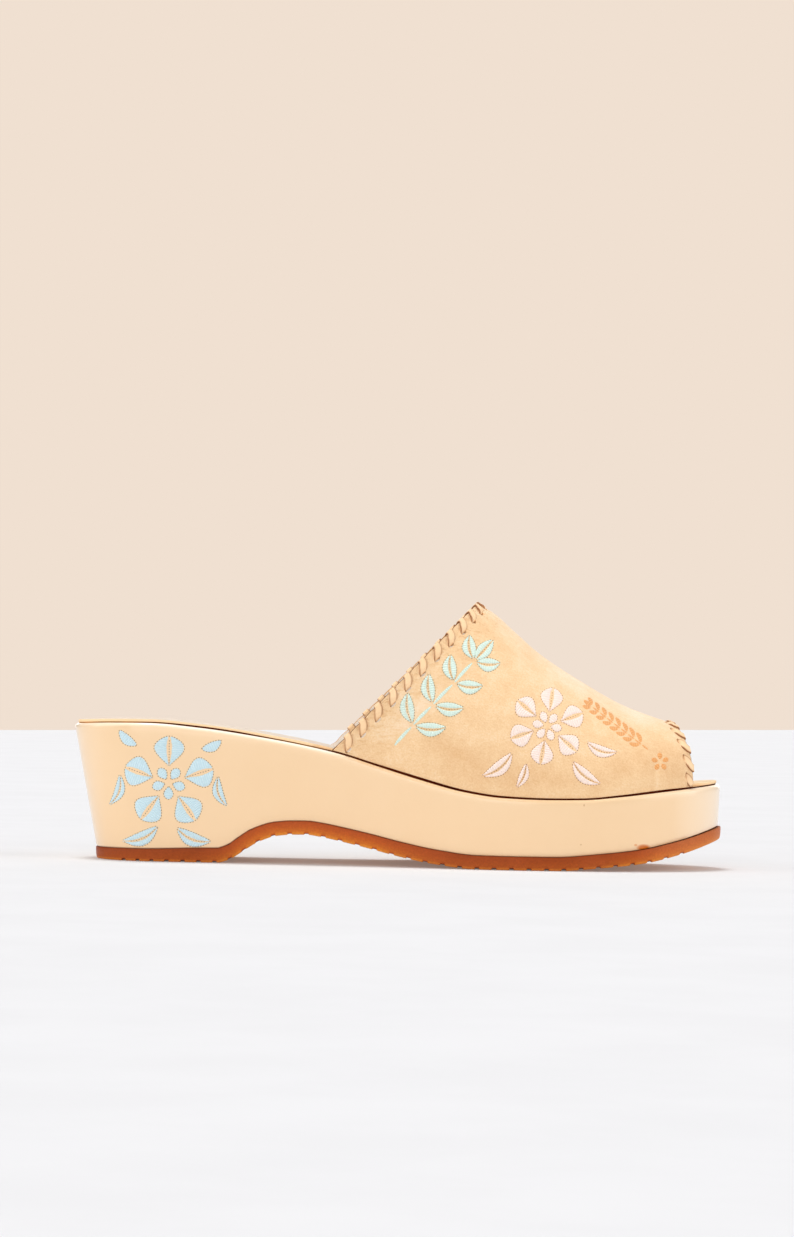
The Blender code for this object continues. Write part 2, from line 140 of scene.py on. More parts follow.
def place(station, across, height):
    """A point of the shoe, in the frame's metres."""
    return Vector((HEEL_X + station * MM, across * MM, height * MM))


plan_centre = smooth_curve([(station, centre) for station, centre, _ in PLAN])
plan_half_width = smooth_curve([(station, half) for station, _, half in PLAN])
underside = smooth_curve(UNDERSIDE)
sheet_thickness = smooth_curve(SHEET)


def half_width(station):
    """Half the width of the wedge's top, with both ends rounded as ellipses."""
    width = plan_half_width(station)
    for inside, round_length in ((station, HEEL_ROUND), (LENGTH - station, TOE_ROUND)):
        if inside < round_length:
            width *= math.sqrt(max(0.0, 1 - (1 - inside / round_length) ** 2))
    return width


def side_taper(station):
    return mix(SIDE_TAPER_HEEL, SIDE_TAPER_TOE, ease(station / LENGTH))


def wedge_bottom(station):
    leaning = slope(underside, station)
    return underside(station) + sheet_thickness(station) * math.sqrt(1 + leaning * leaning)


def plain_stations(step, end_steps):
    """Stations from heel to toe, closer together round the two ends."""
    quarter = [math.pi / 2 * i / end_steps for i in range(end_steps + 1)]
    heel = [HEEL_ROUND * (1 - math.cos(a)) for a in quarter]
    toe = [LENGTH - TOE_ROUND * (1 - math.cos(a)) for a in reversed(quarter)]
    count = round((toe[0] - heel[-1]) / step)
    return heel + [mix(heel[-1], toe[0], i / count) for i in range(1, count)] + toe


def plan_outline(stations):
    """The wedge's top edge as (station, y, outward normal): outer side heel to toe, then back."""
    points = [(s, plan_centre(s) - half_width(s)) for s in stations]
    points += [(s, plan_centre(s) + half_width(s)) for s in reversed(stations[1:-1])]
    found = []
    for i, (s, y) in enumerate(points):
        before, after = points[i - 1], points[(i + 1) % len(points)]
        along = Vector((after[0] - before[0], after[1] - before[1])).normalized()
        found.append((s, y, Vector((along.y, -along.x))))
    return found


def new_grid(name, columns, rows):
    """A flat unit grid, the only thing selected, whose points are then moved into a piece's shape."""
    bpy.ops.object.select_all(action="DESELECT")
    bpy.ops.mesh.primitive_grid_add(x_subdivisions=columns, y_subdivisions=rows, size=1.0)
    piece = bpy.context.object
    piece.name = name
    piece.data.name = name
    return piece


def turn_faces_out(merge=0.0):
    """Merge the active piece's points within a distance, which closes its seams, and turn its faces out."""
    bpy.ops.object.mode_set(mode="EDIT")
    bpy.ops.mesh.select_all(action="SELECT")
    if merge:
        bpy.ops.mesh.remove_doubles(threshold=merge * MM)
    bpy.ops.mesh.normals_make_consistent(inside=False)
    bpy.ops.object.mode_set(mode="OBJECT")


def shade_smooth(sharp_from):
    """Shade the active piece smooth, apart from edges that bend by more than an angle in degrees."""
    bpy.ops.object.shade_smooth_by_angle(angle=math.radians(sharp_from))


# One row of a skin: how far it lies inside the plan, its height, the share of the heel's lean and of the
# width that it has, and the tone that its material reads. Inset, height and tone go by the station.
Level = namedtuple("Level", "inset height lean keep tone")


def skin_of_levels(name, stations, levels):
    """A grid bent round the plan, a row for each level, closed along its seam and its middle lines."""
    outline = plan_outline(stations)
    around, top = len(outline), len(levels) - 1
    piece = new_grid(name, around, top)
    tone = piece.data.attributes.new("tone", "FLOAT", "POINT")
    for vertex in piece.data.vertices:
        station, across, outward = outline[round((vertex.co.x + 0.5) * around) % around]
        level = levels[round((vertex.co.y + 0.5) * top)]
        inset = level.inset(station)
        moved = station - outward.x * inset + HEEL_LEAN * level.lean * (1 - ease(station / HEEL_LEAN_REACH))
        across = mix(plan_centre(station), across - outward.y * inset, level.keep)
        vertex.co = place(moved, across, level.height(station))
        tone.data[vertex.index].value = level.tone(station)
    turn_faces_out(MERGE_WITHIN)
    shade_smooth(sharp_from=38)
    return piece


GROOVE_PITCH = 6.6
GROOVE_MOUTH = 2.1
GROOVE_FLOOR = 1.3
GROOVE_DEPTH = 0.8
GROOVE_FIRST = 14.0
GROOVE_LAST = 238.0
GROOVE_STRIDE = 0.1
GROOVE_CLEAR = 0.4
# The grooves' tone, which the rubber's ramp turns into painted shade.
GROOVE_SHADE_TONE = 1.25
GROOVE_SHAPE = (0.0, 0.3, 0.5, 0.62, 0.78, 0.92, 1.08, 1.3)
# How deep the grooves are: the share of their full depth at the rim, by the station, and further in.
RIM_CUT = ((50, 1.0), (66, 0.6), (128, 0.6), (144, 1.0))
INNER_CUT = 0.32
rim_cut = smooth_curve(RIM_CUT)


def groove_centres():
    """Stations of the grooves, pitched along the bent sheet itself."""
    found = []
    station = GROOVE_FIRST
    while station < GROOVE_LAST:
        found.append(station)
        run = 0.0
        while run < GROOVE_PITCH:
            station += GROOVE_STRIDE
            run += GROOVE_STRIDE * math.sqrt(1 + slope(underside, station) ** 2)
    return found


GROOVES = groove_centres()


def off_groove(station):
    return min(abs(station - centre) for centre in GROOVES)


def groove(station):
    """The share of a groove's full depth that the tread has at a station."""
    slant = (GROOVE_MOUTH - GROOVE_FLOOR) / 2
    return 1 - ease((off_groove(station) - GROOVE_FLOOR / 2) / slant)


def outsole_inset(station):
    margin = mix(OUTSOLE_MARGIN_HEEL, OUTSOLE_MARGIN_TOE, ease(station / LENGTH))
    return side_taper(station) - margin


def tread_level(rise, drawn_in, keep, tone, dark=1.0):
    """A row near the tread, lifted by the grooves where deeper than it, with painted shade inside them."""

    def height(s):
        cut = rim_cut(s) if keep == 1.0 else INNER_CUT
        return underside(s) + max(rise, GROOVE_DEPTH * cut * groove(s))

    def shade(s):
        return mix(tone, GROOVE_SHADE_TONE, dark * groove(s))

    return Level(lambda s: outsole_inset(s) + drawn_in, height, 1, keep, shade)


def wall_level(share, drawn_in, keep, tone):
    """A row of the outsole's side, at a share of its thickness."""

    def height(s):
        return mix(underside(s), wedge_bottom(s) - JOINT_GAP, share)

    return Level(lambda s: outsole_inset(s) + drawn_in, height, 1, keep, lambda s: tone)


outsole_levels = [tread_level(0.0, 0.9, keep, 0.0) for keep in (0.0, 0.5, 0.9, 1.0)]
outsole_levels += [
    tread_level(0.1, 0.6, 1.0, 0.04),
    tread_level(0.3, 0.4, 1.0, 0.1),
    tread_level(0.62, 0.3, 1.0, 0.2, dark=0.7),
    tread_level(0.95, 0.24, 1.0, 0.3, dark=0.25),
    wall_level(0.32, 0.14, 1.0, 0.42),
    wall_level(0.5, 0.05, 1.0, 0.56),
    wall_level(0.7, 0.0, 1.0, 0.72),
    wall_level(0.88, 0.0, 1.0, 0.87),
    wall_level(0.97, 0.04, 1.0, 0.96),
    wall_level(1.0, 0.15, 1.0, 1.0),
    wall_level(1.0, 0.15, 0.0, 1.0),
]
outsole_stations = [centre + side * off for centre in GROOVES for off in GROOVE_SHAPE for side in (-1, 1)]
plain = plain_stations(step=2.6, end_steps=22)
outsole_stations += [s for s in plain if off_groove(s) > GROOVE_SHAPE[-1] + GROOVE_CLEAR]
outsole = skin_of_levels("outsole_sheet", sorted(set(outsole_stations)), outsole_levels)


def srgb(red, green, blue):
    """A colour given as a screen shows it, 0 to 255, for a shader's linear socket."""
    found = []
    for part in (red, green, blue):
        part /= 255
        found.append(part / 12.92 if part <= 0.04045 else ((part + 0.055) / 1.055) ** 2.4)
    return (*found, 1.0)


def set_inputs(node, inputs):
    """Each input of a node set to a value, or linked from a socket."""
    for key, value in inputs.items():
        if isinstance(value, bpy.types.NodeSocket):
            node.id_data.links.new(value, node.inputs[key])
        else:
            node.inputs[key].default_value = value


def add_node(tree, kind, inputs=None, output=0, **settings):
    """An output socket of a new shader node with these inputs and settings."""
    made = tree.nodes.new("ShaderNode" + kind)
    for key, value in settings.items():
        setattr(made, key, value)
    set_inputs(made, inputs or {})
    return made.outputs[output]


def blend(tree, share, first, second, how="MIX"):
    """A mix of two colours, each a value or a socket."""
    return add_node(tree, "Mix", {0: share, 6: first, 7: second}, 2, data_type="RGBA", blend_type=how)


def map_range(tree, value, first=(0.0, 1.0), to=(0.0, 1.0), how="LINEAR"):
    """A value's first range spread over another one."""
    ends = dict(zip(("From Min", "From Max", "To Min", "To Max"), first + to))
    return add_node(tree, "MapRange", {"Value": value, **ends}, interpolation_type=how)


def add_bump(tree, height, strength, distance, over=None):
    """A bump of some height in millimetres, over another one where that is given."""
    inputs = {"Height": height, "Strength": strength, "Distance": distance * MM}
    if over:
        inputs["Normal"] = over
    return add_node(tree, "Bump", inputs)


def read_attribute(tree, name):
    return add_node(tree, "Attribute", output="Fac", attribute_name=name)


def colour_ramp(tree, share, stops):
    """A ramp through (position, colour) stops."""
    ramp = add_node(tree, "ValToRGB", {"Fac": share})
    found = ramp.node.color_ramp.elements
    for stop, (position, colour) in zip(found, (stops[0], stops[-1])):
        stop.position, stop.color = position, colour
    for position, colour in stops[1:-1]:
        found.new(position).color = colour
    return ramp


def ramp_along(tree, coordinates, stops):
    """A ramp along the shoe through (station, colour) stops."""
    position = add_node(tree, "SeparateXYZ", {"Vector": coordinates}, "X")
    along = map_range(tree, position, (HEEL_X, HEEL_X + LENGTH * MM))
    return colour_ramp(tree, along, [(station / LENGTH, colour) for station, colour in stops])


def share_along(tree, coordinates, rows):
    """A share along the shoe through (station, share) rows."""
    return ramp_along(tree, coordinates, [(station, (share, share, share, 1.0)) for station, share in rows])


def new_material(name):
    """A node material, its tree and the Object coordinates that its nodes read."""
    material = bpy.data.materials.new(name)
    material.use_nodes = True
    tree = material.node_tree
    return material, tree, add_node(tree, "TexCoord", output="Object")


def set_shader(tree, inputs):
    set_inputs(tree.nodes["Principled BSDF"], inputs)


def make_mottle_group():
    """Shared group: soft clouds and fine specks on a surface, each put out as a mask from 0 to 1."""
    group = bpy.data.node_groups.new("mottle", "ShaderNodeTree")
    for name in ("Cloud Size", "Speck Size"):
        group.interface.new_socket(name, in_out="INPUT", socket_type="NodeSocketFloat")
    group.interface.new_socket("Vector", in_out="INPUT", socket_type="NodeSocketVector")
    for name in ("Clouds", "Specks"):
        group.interface.new_socket(name, in_out="OUTPUT", socket_type="NodeSocketFloat")
    given = group.nodes.new("NodeGroupInput").outputs
    put_out = group.nodes.new("NodeGroupOutput")
    for size, result, detail in (("Cloud Size", "Clouds", 4.0), ("Speck Size", "Specks", 2.0)):
        scale = add_node(group, "Math", {0: 1.0, 1: given[size]}, operation="DIVIDE")
        inputs = {"Vector": given["Vector"], "Scale": scale, "Detail": detail, "Roughness": 0.6}
        noise = add_node(group, "TexNoise", inputs)
        set_inputs(put_out, {result: map_range(group, noise, (0.3, 0.7), how="SMOOTHSTEP")})
    return group


MOTTLE = make_mottle_group()


def add_mottle(tree, coordinates, cloud_size, speck_size):
    """The mottle group in a material, with the sizes of its clouds and specks in millimetres."""
    made = tree.nodes.new("ShaderNodeGroup")
    made.node_tree = MOTTLE
    sizes = {"Cloud Size": cloud_size * MM, "Speck Size": speck_size * MM}
    set_inputs(made, {"Vector": coordinates, **sizes})
    return made.outputs["Clouds"], made.outputs["Specks"]


# The rubber's colours from the tread's lip, at 0, to its glued upper edge, at 0.8, and in the grooves, at 1,
# where they are painted shade; the lip's paler amber is partly a painted highlight. DULL_GUM is where it is
# dull, and BOUNCE_LIT_GUM a copy painted lit amber by bounce light. PAINTED_BOUNCE_GLOW says where along the
# shoe that painted light lies, and TOE_PAINTED_LIGHT where the toe is painted lighter.
DULL_GUM = (
    (0.0, srgb(206, 122, 46)),
    (0.16, srgb(200, 112, 40)),
    (0.27, srgb(168, 79, 25)),
    (0.5, srgb(156, 68, 18)),
    (0.8, srgb(140, 57, 14)),
    (1.0, srgb(70, 28, 8)),
)
BOUNCE_LIT_GUM = (
    (0.0, srgb(234, 154, 62)),
    (0.16, srgb(230, 142, 50)),
    (0.29, srgb(210, 114, 36)),
    (0.5, srgb(190, 89, 28)),
    (0.7, srgb(176, 77, 26)),
    (0.8, srgb(150, 64, 20)),
    (1.0, srgb(84, 36, 10)),
)
GUM_SCALE = 0.8
PAINTED_BOUNCE_GLOW = ((50, 0.0), (68, 1.0), (118, 1.0), (146, 0.1), (206, 0.1), (226, 0.9), (252, 1.0))
TOE_PAINTED_LIGHT = ((0, 0.0), (218, 0.0), (236, 0.3), (252, 0.4))


def gum_rubber():
    """Gum rubber, clouded and finely grained, with a satin gloss, painted shade in its grooves and painted
    bounce light at its arch and toe.
    """
    material, tree, coordinates = new_material("gum_rubber")
    clouds, specks = add_mottle(tree, coordinates, 14, 0.7)
    depth = add_node(tree, "Math", {0: read_attribute(tree, "tone"), 1: GUM_SCALE}, operation="MULTIPLY")
    dull, bounce_lit = colour_ramp(tree, depth, DULL_GUM), colour_ramp(tree, depth, BOUNCE_LIT_GUM)
    # Painted bounce light turns the arch and toe amber, and the toe is painted lighter still.
    gum = blend(tree, share_along(tree, coordinates, PAINTED_BOUNCE_GLOW), dull, bounce_lit)
    gum = blend(tree, share_along(tree, coordinates, TOE_PAINTED_LIGHT), gum, srgb(222, 142, 84))
    mixed = blend(tree, 0.3, gum, blend(tree, clouds, gum, srgb(186, 90, 48)))
    grained = blend(tree, 0.2, mixed, blend(tree, specks, srgb(96, 40, 12), mixed))
    looks = {
        "Base Color": grained,
        "Normal": add_bump(tree, specks, 0.18, 0.2),
        "Roughness": map_range(tree, clouds, to=(0.46, 0.62)),
        "Specular IOR Level": 0.14,
    }
    set_shader(tree, looks)
    return material


outsole.data.materials.append(gum_rubber())
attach(outsole, "root")
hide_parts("outsole")


# Wedge
# A light core under one piece of smooth nude leather, drawn tight over the sides and turned in over
# the rounded top edge, with a seam-free finish and a soft gloss.
WEDGE_TOP = (
    (0, 52.4), (14, 53.0), (30, 53.2), (50, 51.7), (70, 49.1), (102, 43.2), (119, 38.1), (135, 33.4),
    (152, 29.2), (166, 27.4), (183, 26.9), (197, 27.1), (212, 28.4), (228, 30.3), (252.5, 33.2),
)
WEDGE_EDGE_RADIUS = 1.5
WEDGE_EDGE_STEPS = 6
WEDGE_SIDE_STEPS = 9
WEDGE_TURN_IN = 4.5
# The foot's tone: a dark brown glue line at the outsole joint, partly painted shade of the gap.
FOOT_GLUE_AND_SHADE = -1.0
# The rounded edge's painted highlight, pale at heel and toe, and its painted shade, darker under the upper,
# and the share that it has.
EDGE_PAINT_SHARE = ((0, 0.5), (26, 0.8), (40, 1.0), (96, 1.0), (122, 0.8), (228, 0.8), (252.5, 0.6))
EDGE_HIGHLIGHT_AND_SHADE = (
    (0, srgb(255, 243, 222)),
    (98, srgb(255, 243, 222)),
    (112, srgb(232, 192, 146)),
    (186, srgb(230, 190, 144)),
    (204, srgb(238, 202, 158)),
    (252.5, srgb(250, 226, 196)),
)
EDGE_PAINT_TURN = 52.0
wedge_top = smooth_curve(WEDGE_TOP)
edge_paint_share = smooth_curve(EDGE_PAINT_SHARE)


def wedge_side_level(share, drawn_in=0.0, keep=1.0, tone=0.0):
    """A row of the wedge's side, from its glued foot at 0 to the start of its rounded edge at 1."""
    return Level(
        lambda s: side_taper(s) * (1 - share) + drawn_in,
        lambda s: mix(wedge_bottom(s), wedge_top(s) - WEDGE_EDGE_RADIUS, share),
        1 - share,
        keep,
        lambda s: tone,
    )


def wedge_edge_level(turn):
    """A row of the rounded top edge, turned from upright at 0 to flat at a quarter turn."""
    sunk = WEDGE_EDGE_RADIUS * (1 - math.sin(turn))
    drawn_in = WEDGE_EDGE_RADIUS * (1 - math.cos(turn))
    # The tone here is the share of the edge's painted highlight and shade.
    share = ease(math.degrees(turn) / EDGE_PAINT_TURN)
    return Level(lambda s: drawn_in, lambda s: wedge_top(s) - sunk, 0, 1.0, lambda s: share * edge_paint_share(s))


wedge_levels = [
    wedge_side_level(0.0, keep=0.0, tone=FOOT_GLUE_AND_SHADE),
    wedge_side_level(0.0, 0.2, tone=FOOT_GLUE_AND_SHADE),
    wedge_side_level(0.012, 0.03),
]
wedge_levels += [wedge_side_level((i + 1) / WEDGE_SIDE_STEPS) for i in range(WEDGE_SIDE_STEPS - 1)]
wedge_levels += [wedge_edge_level(math.pi / 2 * i / WEDGE_EDGE_STEPS) for i in range(WEDGE_EDGE_STEPS + 1)]
wedge_levels += [Level(lambda s: WEDGE_TURN_IN, wedge_top, 0, keep, lambda s: 1.0) for keep in (1.0, 0.0)]
rim_stations = plain_stations(step=2.5, end_steps=26)
wedge = skin_of_levels("wedge_cover", rim_stations, wedge_levels)

PORE = 0.9
ROUGH_SPREAD = 0.08


def smooth_leather(name, colour, dark, rough, grain, overlay=None, more_looks=None):
    """Finished leather, a little mottled, with fine pores in its bump.

    An overlay is a function that lays more colours over the mottled one.
    """
    material, tree, coordinates = new_material(name)
    clouds, specks = add_mottle(tree, coordinates, 26, 0.55)
    mixed = blend(tree, 0.45, colour, blend(tree, clouds, colour, dark))
    pores = add_node(tree, "TexVoronoi", {"Vector": coordinates, "Scale": 1 / (PORE * MM)}, "Distance")
    height = add_node(tree, "Math", {0: specks, 1: pores}, operation="ADD")
    looks = {
        "Base Color": overlay(tree, coordinates, mixed) if overlay else mixed,
        "Normal": add_bump(tree, height, grain, 0.12),
        "Roughness": map_range(tree, clouds, to=(rough, rough + ROUGH_SPREAD)),
        "Specular IOR Level": 0.4,
    }
    set_shader(tree, {**looks, **(more_looks or {})})
    return material


# Small soft marks on the wedge's outer side.
Stain = namedtuple("Stain", "station height half_long half_high colour strength")
STAINS = (
    Stain(220.8, 9.2, 3.6, 1.7, srgb(208, 112, 28), 1.0),
    Stain(217.6, 10.2, 0.9, 0.6, srgb(214, 120, 40), 0.6),
    Stain(197.3, 25.2, 0.35, 0.6, srgb(190, 140, 92), 0.7),
    Stain(196.4, 10.2, 0.5, 0.4, srgb(196, 150, 104), 0.6),
)
STAIN_DEEP = 8.0
STAIN_CORE = 0.4
# Painted light: the wedge paler towards the heel's back and the toe's end.
PAINTED_LIGHT_ENDS = ((0, 0.25), (14, 0.0), (232, 0.0), (252, 0.7))


def stain_mask(tree, coordinates, stain):
    """The share of a stain's colour: its strength in the core, and nothing past its half sizes."""
    centre = place(stain.station, plan_centre(stain.station) - half_width(stain.station), stain.height)
    away = add_node(tree, "VectorMath", {0: coordinates, 1: centre}, operation="SUBTRACT")
    sizes = [1 / (size * MM) for size in (stain.half_long, STAIN_DEEP, stain.half_high)]
    scaled = add_node(tree, "VectorMath", {0: away, 1: sizes}, operation="MULTIPLY")
    off = add_node(tree, "VectorMath", {0: scaled}, "Value", operation="LENGTH")
    return map_range(tree, off, (1.0, STAIN_CORE), (0.0, stain.strength), "SMOOTHSTEP")


def wedge_marks(tree, coordinates, colour):
    """Stains, painted light at both ends, the rounded edge's painted highlight and shade, and the glued
    foot's dark line, partly painted shade, all laid over the leather's own colour.
    """
    for stain in STAINS:
        colour = blend(tree, stain_mask(tree, coordinates, stain), colour, stain.colour)
    # Painted light at both ends.
    colour = blend(tree, share_along(tree, coordinates, PAINTED_LIGHT_ENDS), colour, srgb(254, 236, 212))
    tone = read_attribute(tree, "tone")
    # The rounded edge's painted highlight and painted shade.
    colour = blend(tree, tone, colour, ramp_along(tree, coordinates, EDGE_HIGHLIGHT_AND_SHADE))
    # The foot's dark glue line, partly painted shade of the joint.
    return blend(tree, map_range(tree, tone, (0.0, FOOT_GLUE_AND_SHADE)), colour, srgb(122, 62, 30))


CLEAR_COAT = {"Coat Weight": 0.8, "Coat Roughness": 0.1}
wedge_leather = smooth_leather(
    "wedge_leather", srgb(241, 207, 164), srgb(238, 202, 157), 0.3, 0.1, wedge_marks, CLEAR_COAT
)
wedge.data.materials.append(wedge_leather)
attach(wedge, "root")
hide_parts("wedge")


# Board edge
# The dark brown edge of the insole board and its glue, which shows as a thin line all the way round,
# between the wedge's rounded edge below and the upper and insole above. It stands partly for the shade of
# the crevice there, painted on as a darker brown under the upper.
SEAM = (
    (0, 0.35), (30, 0.42), (50, 0.62), (64, 0.6), (79, 0.4), (94, 0.38), (103, 0.5), (112, 0.6), (133, 0.9),
    (160, 0.65), (195, 0.5), (228, 0.8), (242, 0.5), (252.5, 0.4),
)
# Its colours along the shoe: tan glue round the heel's back, darker brown under the upper as painted shade.
SEAM_GLUE_AND_SHADE = (
    (0, srgb(200, 140, 80)),
    (24, srgb(176, 112, 52)),
    (34, srgb(120, 60, 24)),
    (42, srgb(88, 28, 6)),
    (70, srgb(86, 28, 8)),
    (80, srgb(124, 72, 26)),
    (92, srgb(146, 96, 42)),
    (100, srgb(92, 36, 4)),
    (140, srgb(78, 18, 0)),
    (252.5, srgb(72, 18, 0)),
)
INSOLE_INSET_BACK = 1.2
INSOLE_INSET_OPEN = 1.5
INSOLE_BACK_RUN = 14.0
BOARD_BEHIND_RIM = 0.25
BOARD_SUNK = 0.3
BOARD_WIDE = 2.5
BOARD_CLEAR = 0.02
BOARD_BEVEL = 0.15
seam_gap = smooth_curve(SEAM)


def rim_inset(station):
    """How far the insole's open rim lies inside the wedge's edge, less round the back of the heel."""
    return mix(INSOLE_INSET_BACK, INSOLE_INSET_OPEN, ease(station / INSOLE_BACK_RUN))


def board_level(drawn_in, top, tone=0.0):
    """A row of the board's edge: at its foot, sunk a little into the wedge, or at its top."""

    def height(s):
        return wedge_top(s) + mix(-BOARD_SUNK, seam_gap(s) - BOARD_CLEAR, top)

    return Level(lambda s: rim_inset(s) + BOARD_BEHIND_RIM + drawn_in, height, 0, 1.0, lambda s: tone)


board_levels = [
    board_level(BOARD_WIDE, 0),
    board_level(0.0, 0),
    board_level(0.0, 1),
    board_level(BOARD_BEVEL, 1, tone=1.0),
    board_level(BOARD_WIDE, 1, tone=1.0),
    board_level(BOARD_WIDE, 0),
]
board = skin_of_levels("board_edge_and_shade", rim_stations, board_levels)


def glue_and_shade_edge():
    """Glue and board, tan round the back of the heel, dark brown from there to the toe, partly painted shade,
    and cream on top.
    """
    material, tree, coordinates = new_material("glue_and_shade_edge")
    clouds, specks = add_mottle(tree, coordinates, 9, 0.8)
    # Glue colour along the shoe, darkened under the upper as painted shade.
    glue_and_shade = ramp_along(tree, coordinates, SEAM_GLUE_AND_SHADE)
    thick = blend(tree, 1.0, glue_and_shade, srgb(196, 190, 184), "MULTIPLY")
    mottled = blend(tree, clouds, glue_and_shade, thick)
    looks = {
        "Base Color": blend(tree, read_attribute(tree, "tone"), mottled, srgb(238, 200, 152)),
        "Normal": add_bump(tree, specks, 0.4, 0.2),
        "Roughness": 0.7,
        "Specular IOR Level": 0.03,
    }
    set_shader(tree, looks)
    return material


board.data.materials.append(glue_and_shade_edge())
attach(board, "root")


# Insole
# A thin leather sock glued on the board. It comes out close to the wedge's edge at heel and toe, and
# runs inside the upper's wall between them.
FIT_GAP = 0.3
INSOLE_THICK = 1.2
INSOLE_INSET_UNDER_UPPER = 3.9
INSOLE_NOTCH_RUN = 4.0
INSOLE_NOTCH_START = 96.5
INSOLE_NOTCH_END = 243.5
INSOLE_NOTCH_STEPS = 8
SOCK_FACE = (
    (0, srgb(236, 219, 200)),
    (96, srgb(237, 220, 202)),
    (150, srgb(250, 226, 190)),
    (252.5, srgb(254, 224, 182)),
)


def insole_inset(station):
    covered = ease((station - INSOLE_NOTCH_START) / INSOLE_NOTCH_RUN + 1)
    covered *= ease((INSOLE_NOTCH_END - station) / INSOLE_NOTCH_RUN + 1)
    return mix(rim_inset(station), INSOLE_INSET_UNDER_UPPER, covered)


def insole_level(rise, drawn_in, keep, tone, over_seam=0):
    """A row of the sock, at a rise above the wedge's top or above the seam's dark line."""

    def height(s):
        return wedge_top(s) + rise + over_seam * seam_gap(s)

    return Level(lambda s: insole_inset(s) + drawn_in, height, 0, keep, lambda s: tone)


insole_top = FIT_GAP + INSOLE_THICK
insole_levels = [
    insole_level(FIT_GAP, 1.5, 0.0, 0.0),
    insole_level(FIT_GAP, 1.5, 1.0, 0.0),
    insole_level(0.02, 0.2, 1.0, 0.0, over_seam=1),
    insole_level(0.14, 0.0, 1.0, 0.0, over_seam=1),
    insole_level(insole_top - 0.3, 0.0, 1.0, 0.0),
    insole_level(insole_top - 0.08, 0.1, 1.0, 0.3),
    insole_level(insole_top, 0.35, 1.0, 1.0),
    insole_level(insole_top, 1.2, 1.0, 1.0),
    insole_level(insole_top - 0.05, 1.2, 0.8, 1.0),
    insole_level(insole_top - 0.1, 1.2, 0.4, 1.0),
    insole_level(insole_top - 0.1, 1.2, 0.0, 1.0),
]
notch_runs = [INSOLE_NOTCH_RUN * k / INSOLE_NOTCH_STEPS for k in range(INSOLE_NOTCH_STEPS + 1)]
insole_stations = rim_stations + [INSOLE_NOTCH_START - run for run in notch_runs]
insole_stations += [INSOLE_NOTCH_END + run for run in notch_runs]
insole = skin_of_levels("insole_sock", sorted(set(insole_stations)), insole_levels)


def sock_face(tree, coordinates, mottled):
    """The sock's face, worn pale from the heel to the waist, and its cream edge."""
    face = blend(tree, 1.0, mottled, ramp_along(tree, coordinates, SOCK_FACE), "MULTIPLY")
    return blend(tree, read_attribute(tree, "tone"), srgb(249, 214, 168), face)


MATT = {"Specular IOR Level": 0.15}
sock_leather = smooth_leather(
    "sock_leather", srgb(240, 240, 240), srgb(235, 234, 233), 0.6, 0.3, sock_face, MATT
)
insole.data.materials.append(sock_leather)
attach(insole, "root")
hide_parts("insole")


# Upper
# One vamp of nude suede with a smooth lining, pulled over the last and drawn in a little along its foot.
# It is cut on a slant at the collar and raked at the toe, and both edges are punched for a lacing.
TOP_LINE = (
    (98, 150.0), (140, 115.0), (156.6, 102.0), (163, 98.2), (171, 91.3), (180, 83.6), (197, 72.6),
    (214, 63.4), (231, 57.4), (252.5, 52.0),
)
WALL = 1.8
UPPER_INSET = 1.4
# The cross section's rows: station, the power of its curve, and how far its ridge lies to the inner side.
SECTIONS = ((98, 1.8, 5.0), (160, 1.95, 5.8), (188, 2.14, 6.0), (240, 2.3, 2.0))
COLLAR_FOOT_OUTER = 100.4
COLLAR_FOOT_INNER = 98.0
COLLAR_TOP_STATION = 155.9
COLLAR_FOOT_HEIGHT = 43.5
COLLAR_TOP_HEIGHT = 102.0
TOE_FOOT_STATION = 240.4
TOE_FOOT_HEIGHT = 33.0
TOE_RISE = 24.0
TOE_RAKE = 6.6
TOE_RAKE_POWER = 2.6
TOE_RISEN_MOST = 1.2
SLOPE_TO = LENGTH - 1.0
# Both cuts are looked for between these stations, by halving.
CUT_FROM = COLLAR_FOOT_INNER - 10
CUT_TO = LENGTH - 4
HALVINGS = 32
EDGE_STEPS = 240
top_line = smooth_curve(TOP_LINE)
section_power = smooth_curve([(station, power) for station, power, _ in SECTIONS])
ridge_shift = smooth_curve([(station, shift) for station, _, shift in SECTIONS])


def section_sizes(station):
    """Centre, half width, base height, rise, power and ridge shift of the upper's cross section."""
    narrowing = slope(half_width, min(station, SLOPE_TO))
    width = half_width(station) - UPPER_INSET * math.sqrt(1 + narrowing * narrowing)
    base = wedge_top(station) + seam_gap(station)
    rise = top_line(station) - base
    return plan_centre(station), width, base, rise, section_power(station), ridge_shift(station)


def upper_point(station, angle):
    """The upper's outer face: angle 0 is the outer feather edge, pi the inner one."""
    centre, width, base, rise, power, shift = section_sizes(station)
    across = math.copysign(abs(math.cos(angle)) ** (2 / power), math.cos(angle))
    up = max(math.sin(angle), 0.0) ** (2 / power)
    return Vector((station, centre - width * across + shift * up, base + rise * up))


def on_upper(point):
    """The point moved on to the upper's outer face within its own cross section."""
    centre, width, base, rise, power, shift = section_sizes(point.x)
    up = max(point.z - base, 0.0) / rise
    across = (point.y - centre - shift * up) / width
    scale = (abs(across) ** power + up**power) ** (-1 / power)
    up *= scale
    return Vector((point.x, centre + width * across * scale + shift * up, base + rise * up))


def upper_depth(point):
    """Below 1 inside the upper's outer face, and above 1 outside it."""
    centre, width, base, rise, power, shift = section_sizes(point.x)
    up = max(point.z - base, 0.0) / rise
    across = abs(point.y - centre - shift * up) / width
    return across**power + up**power


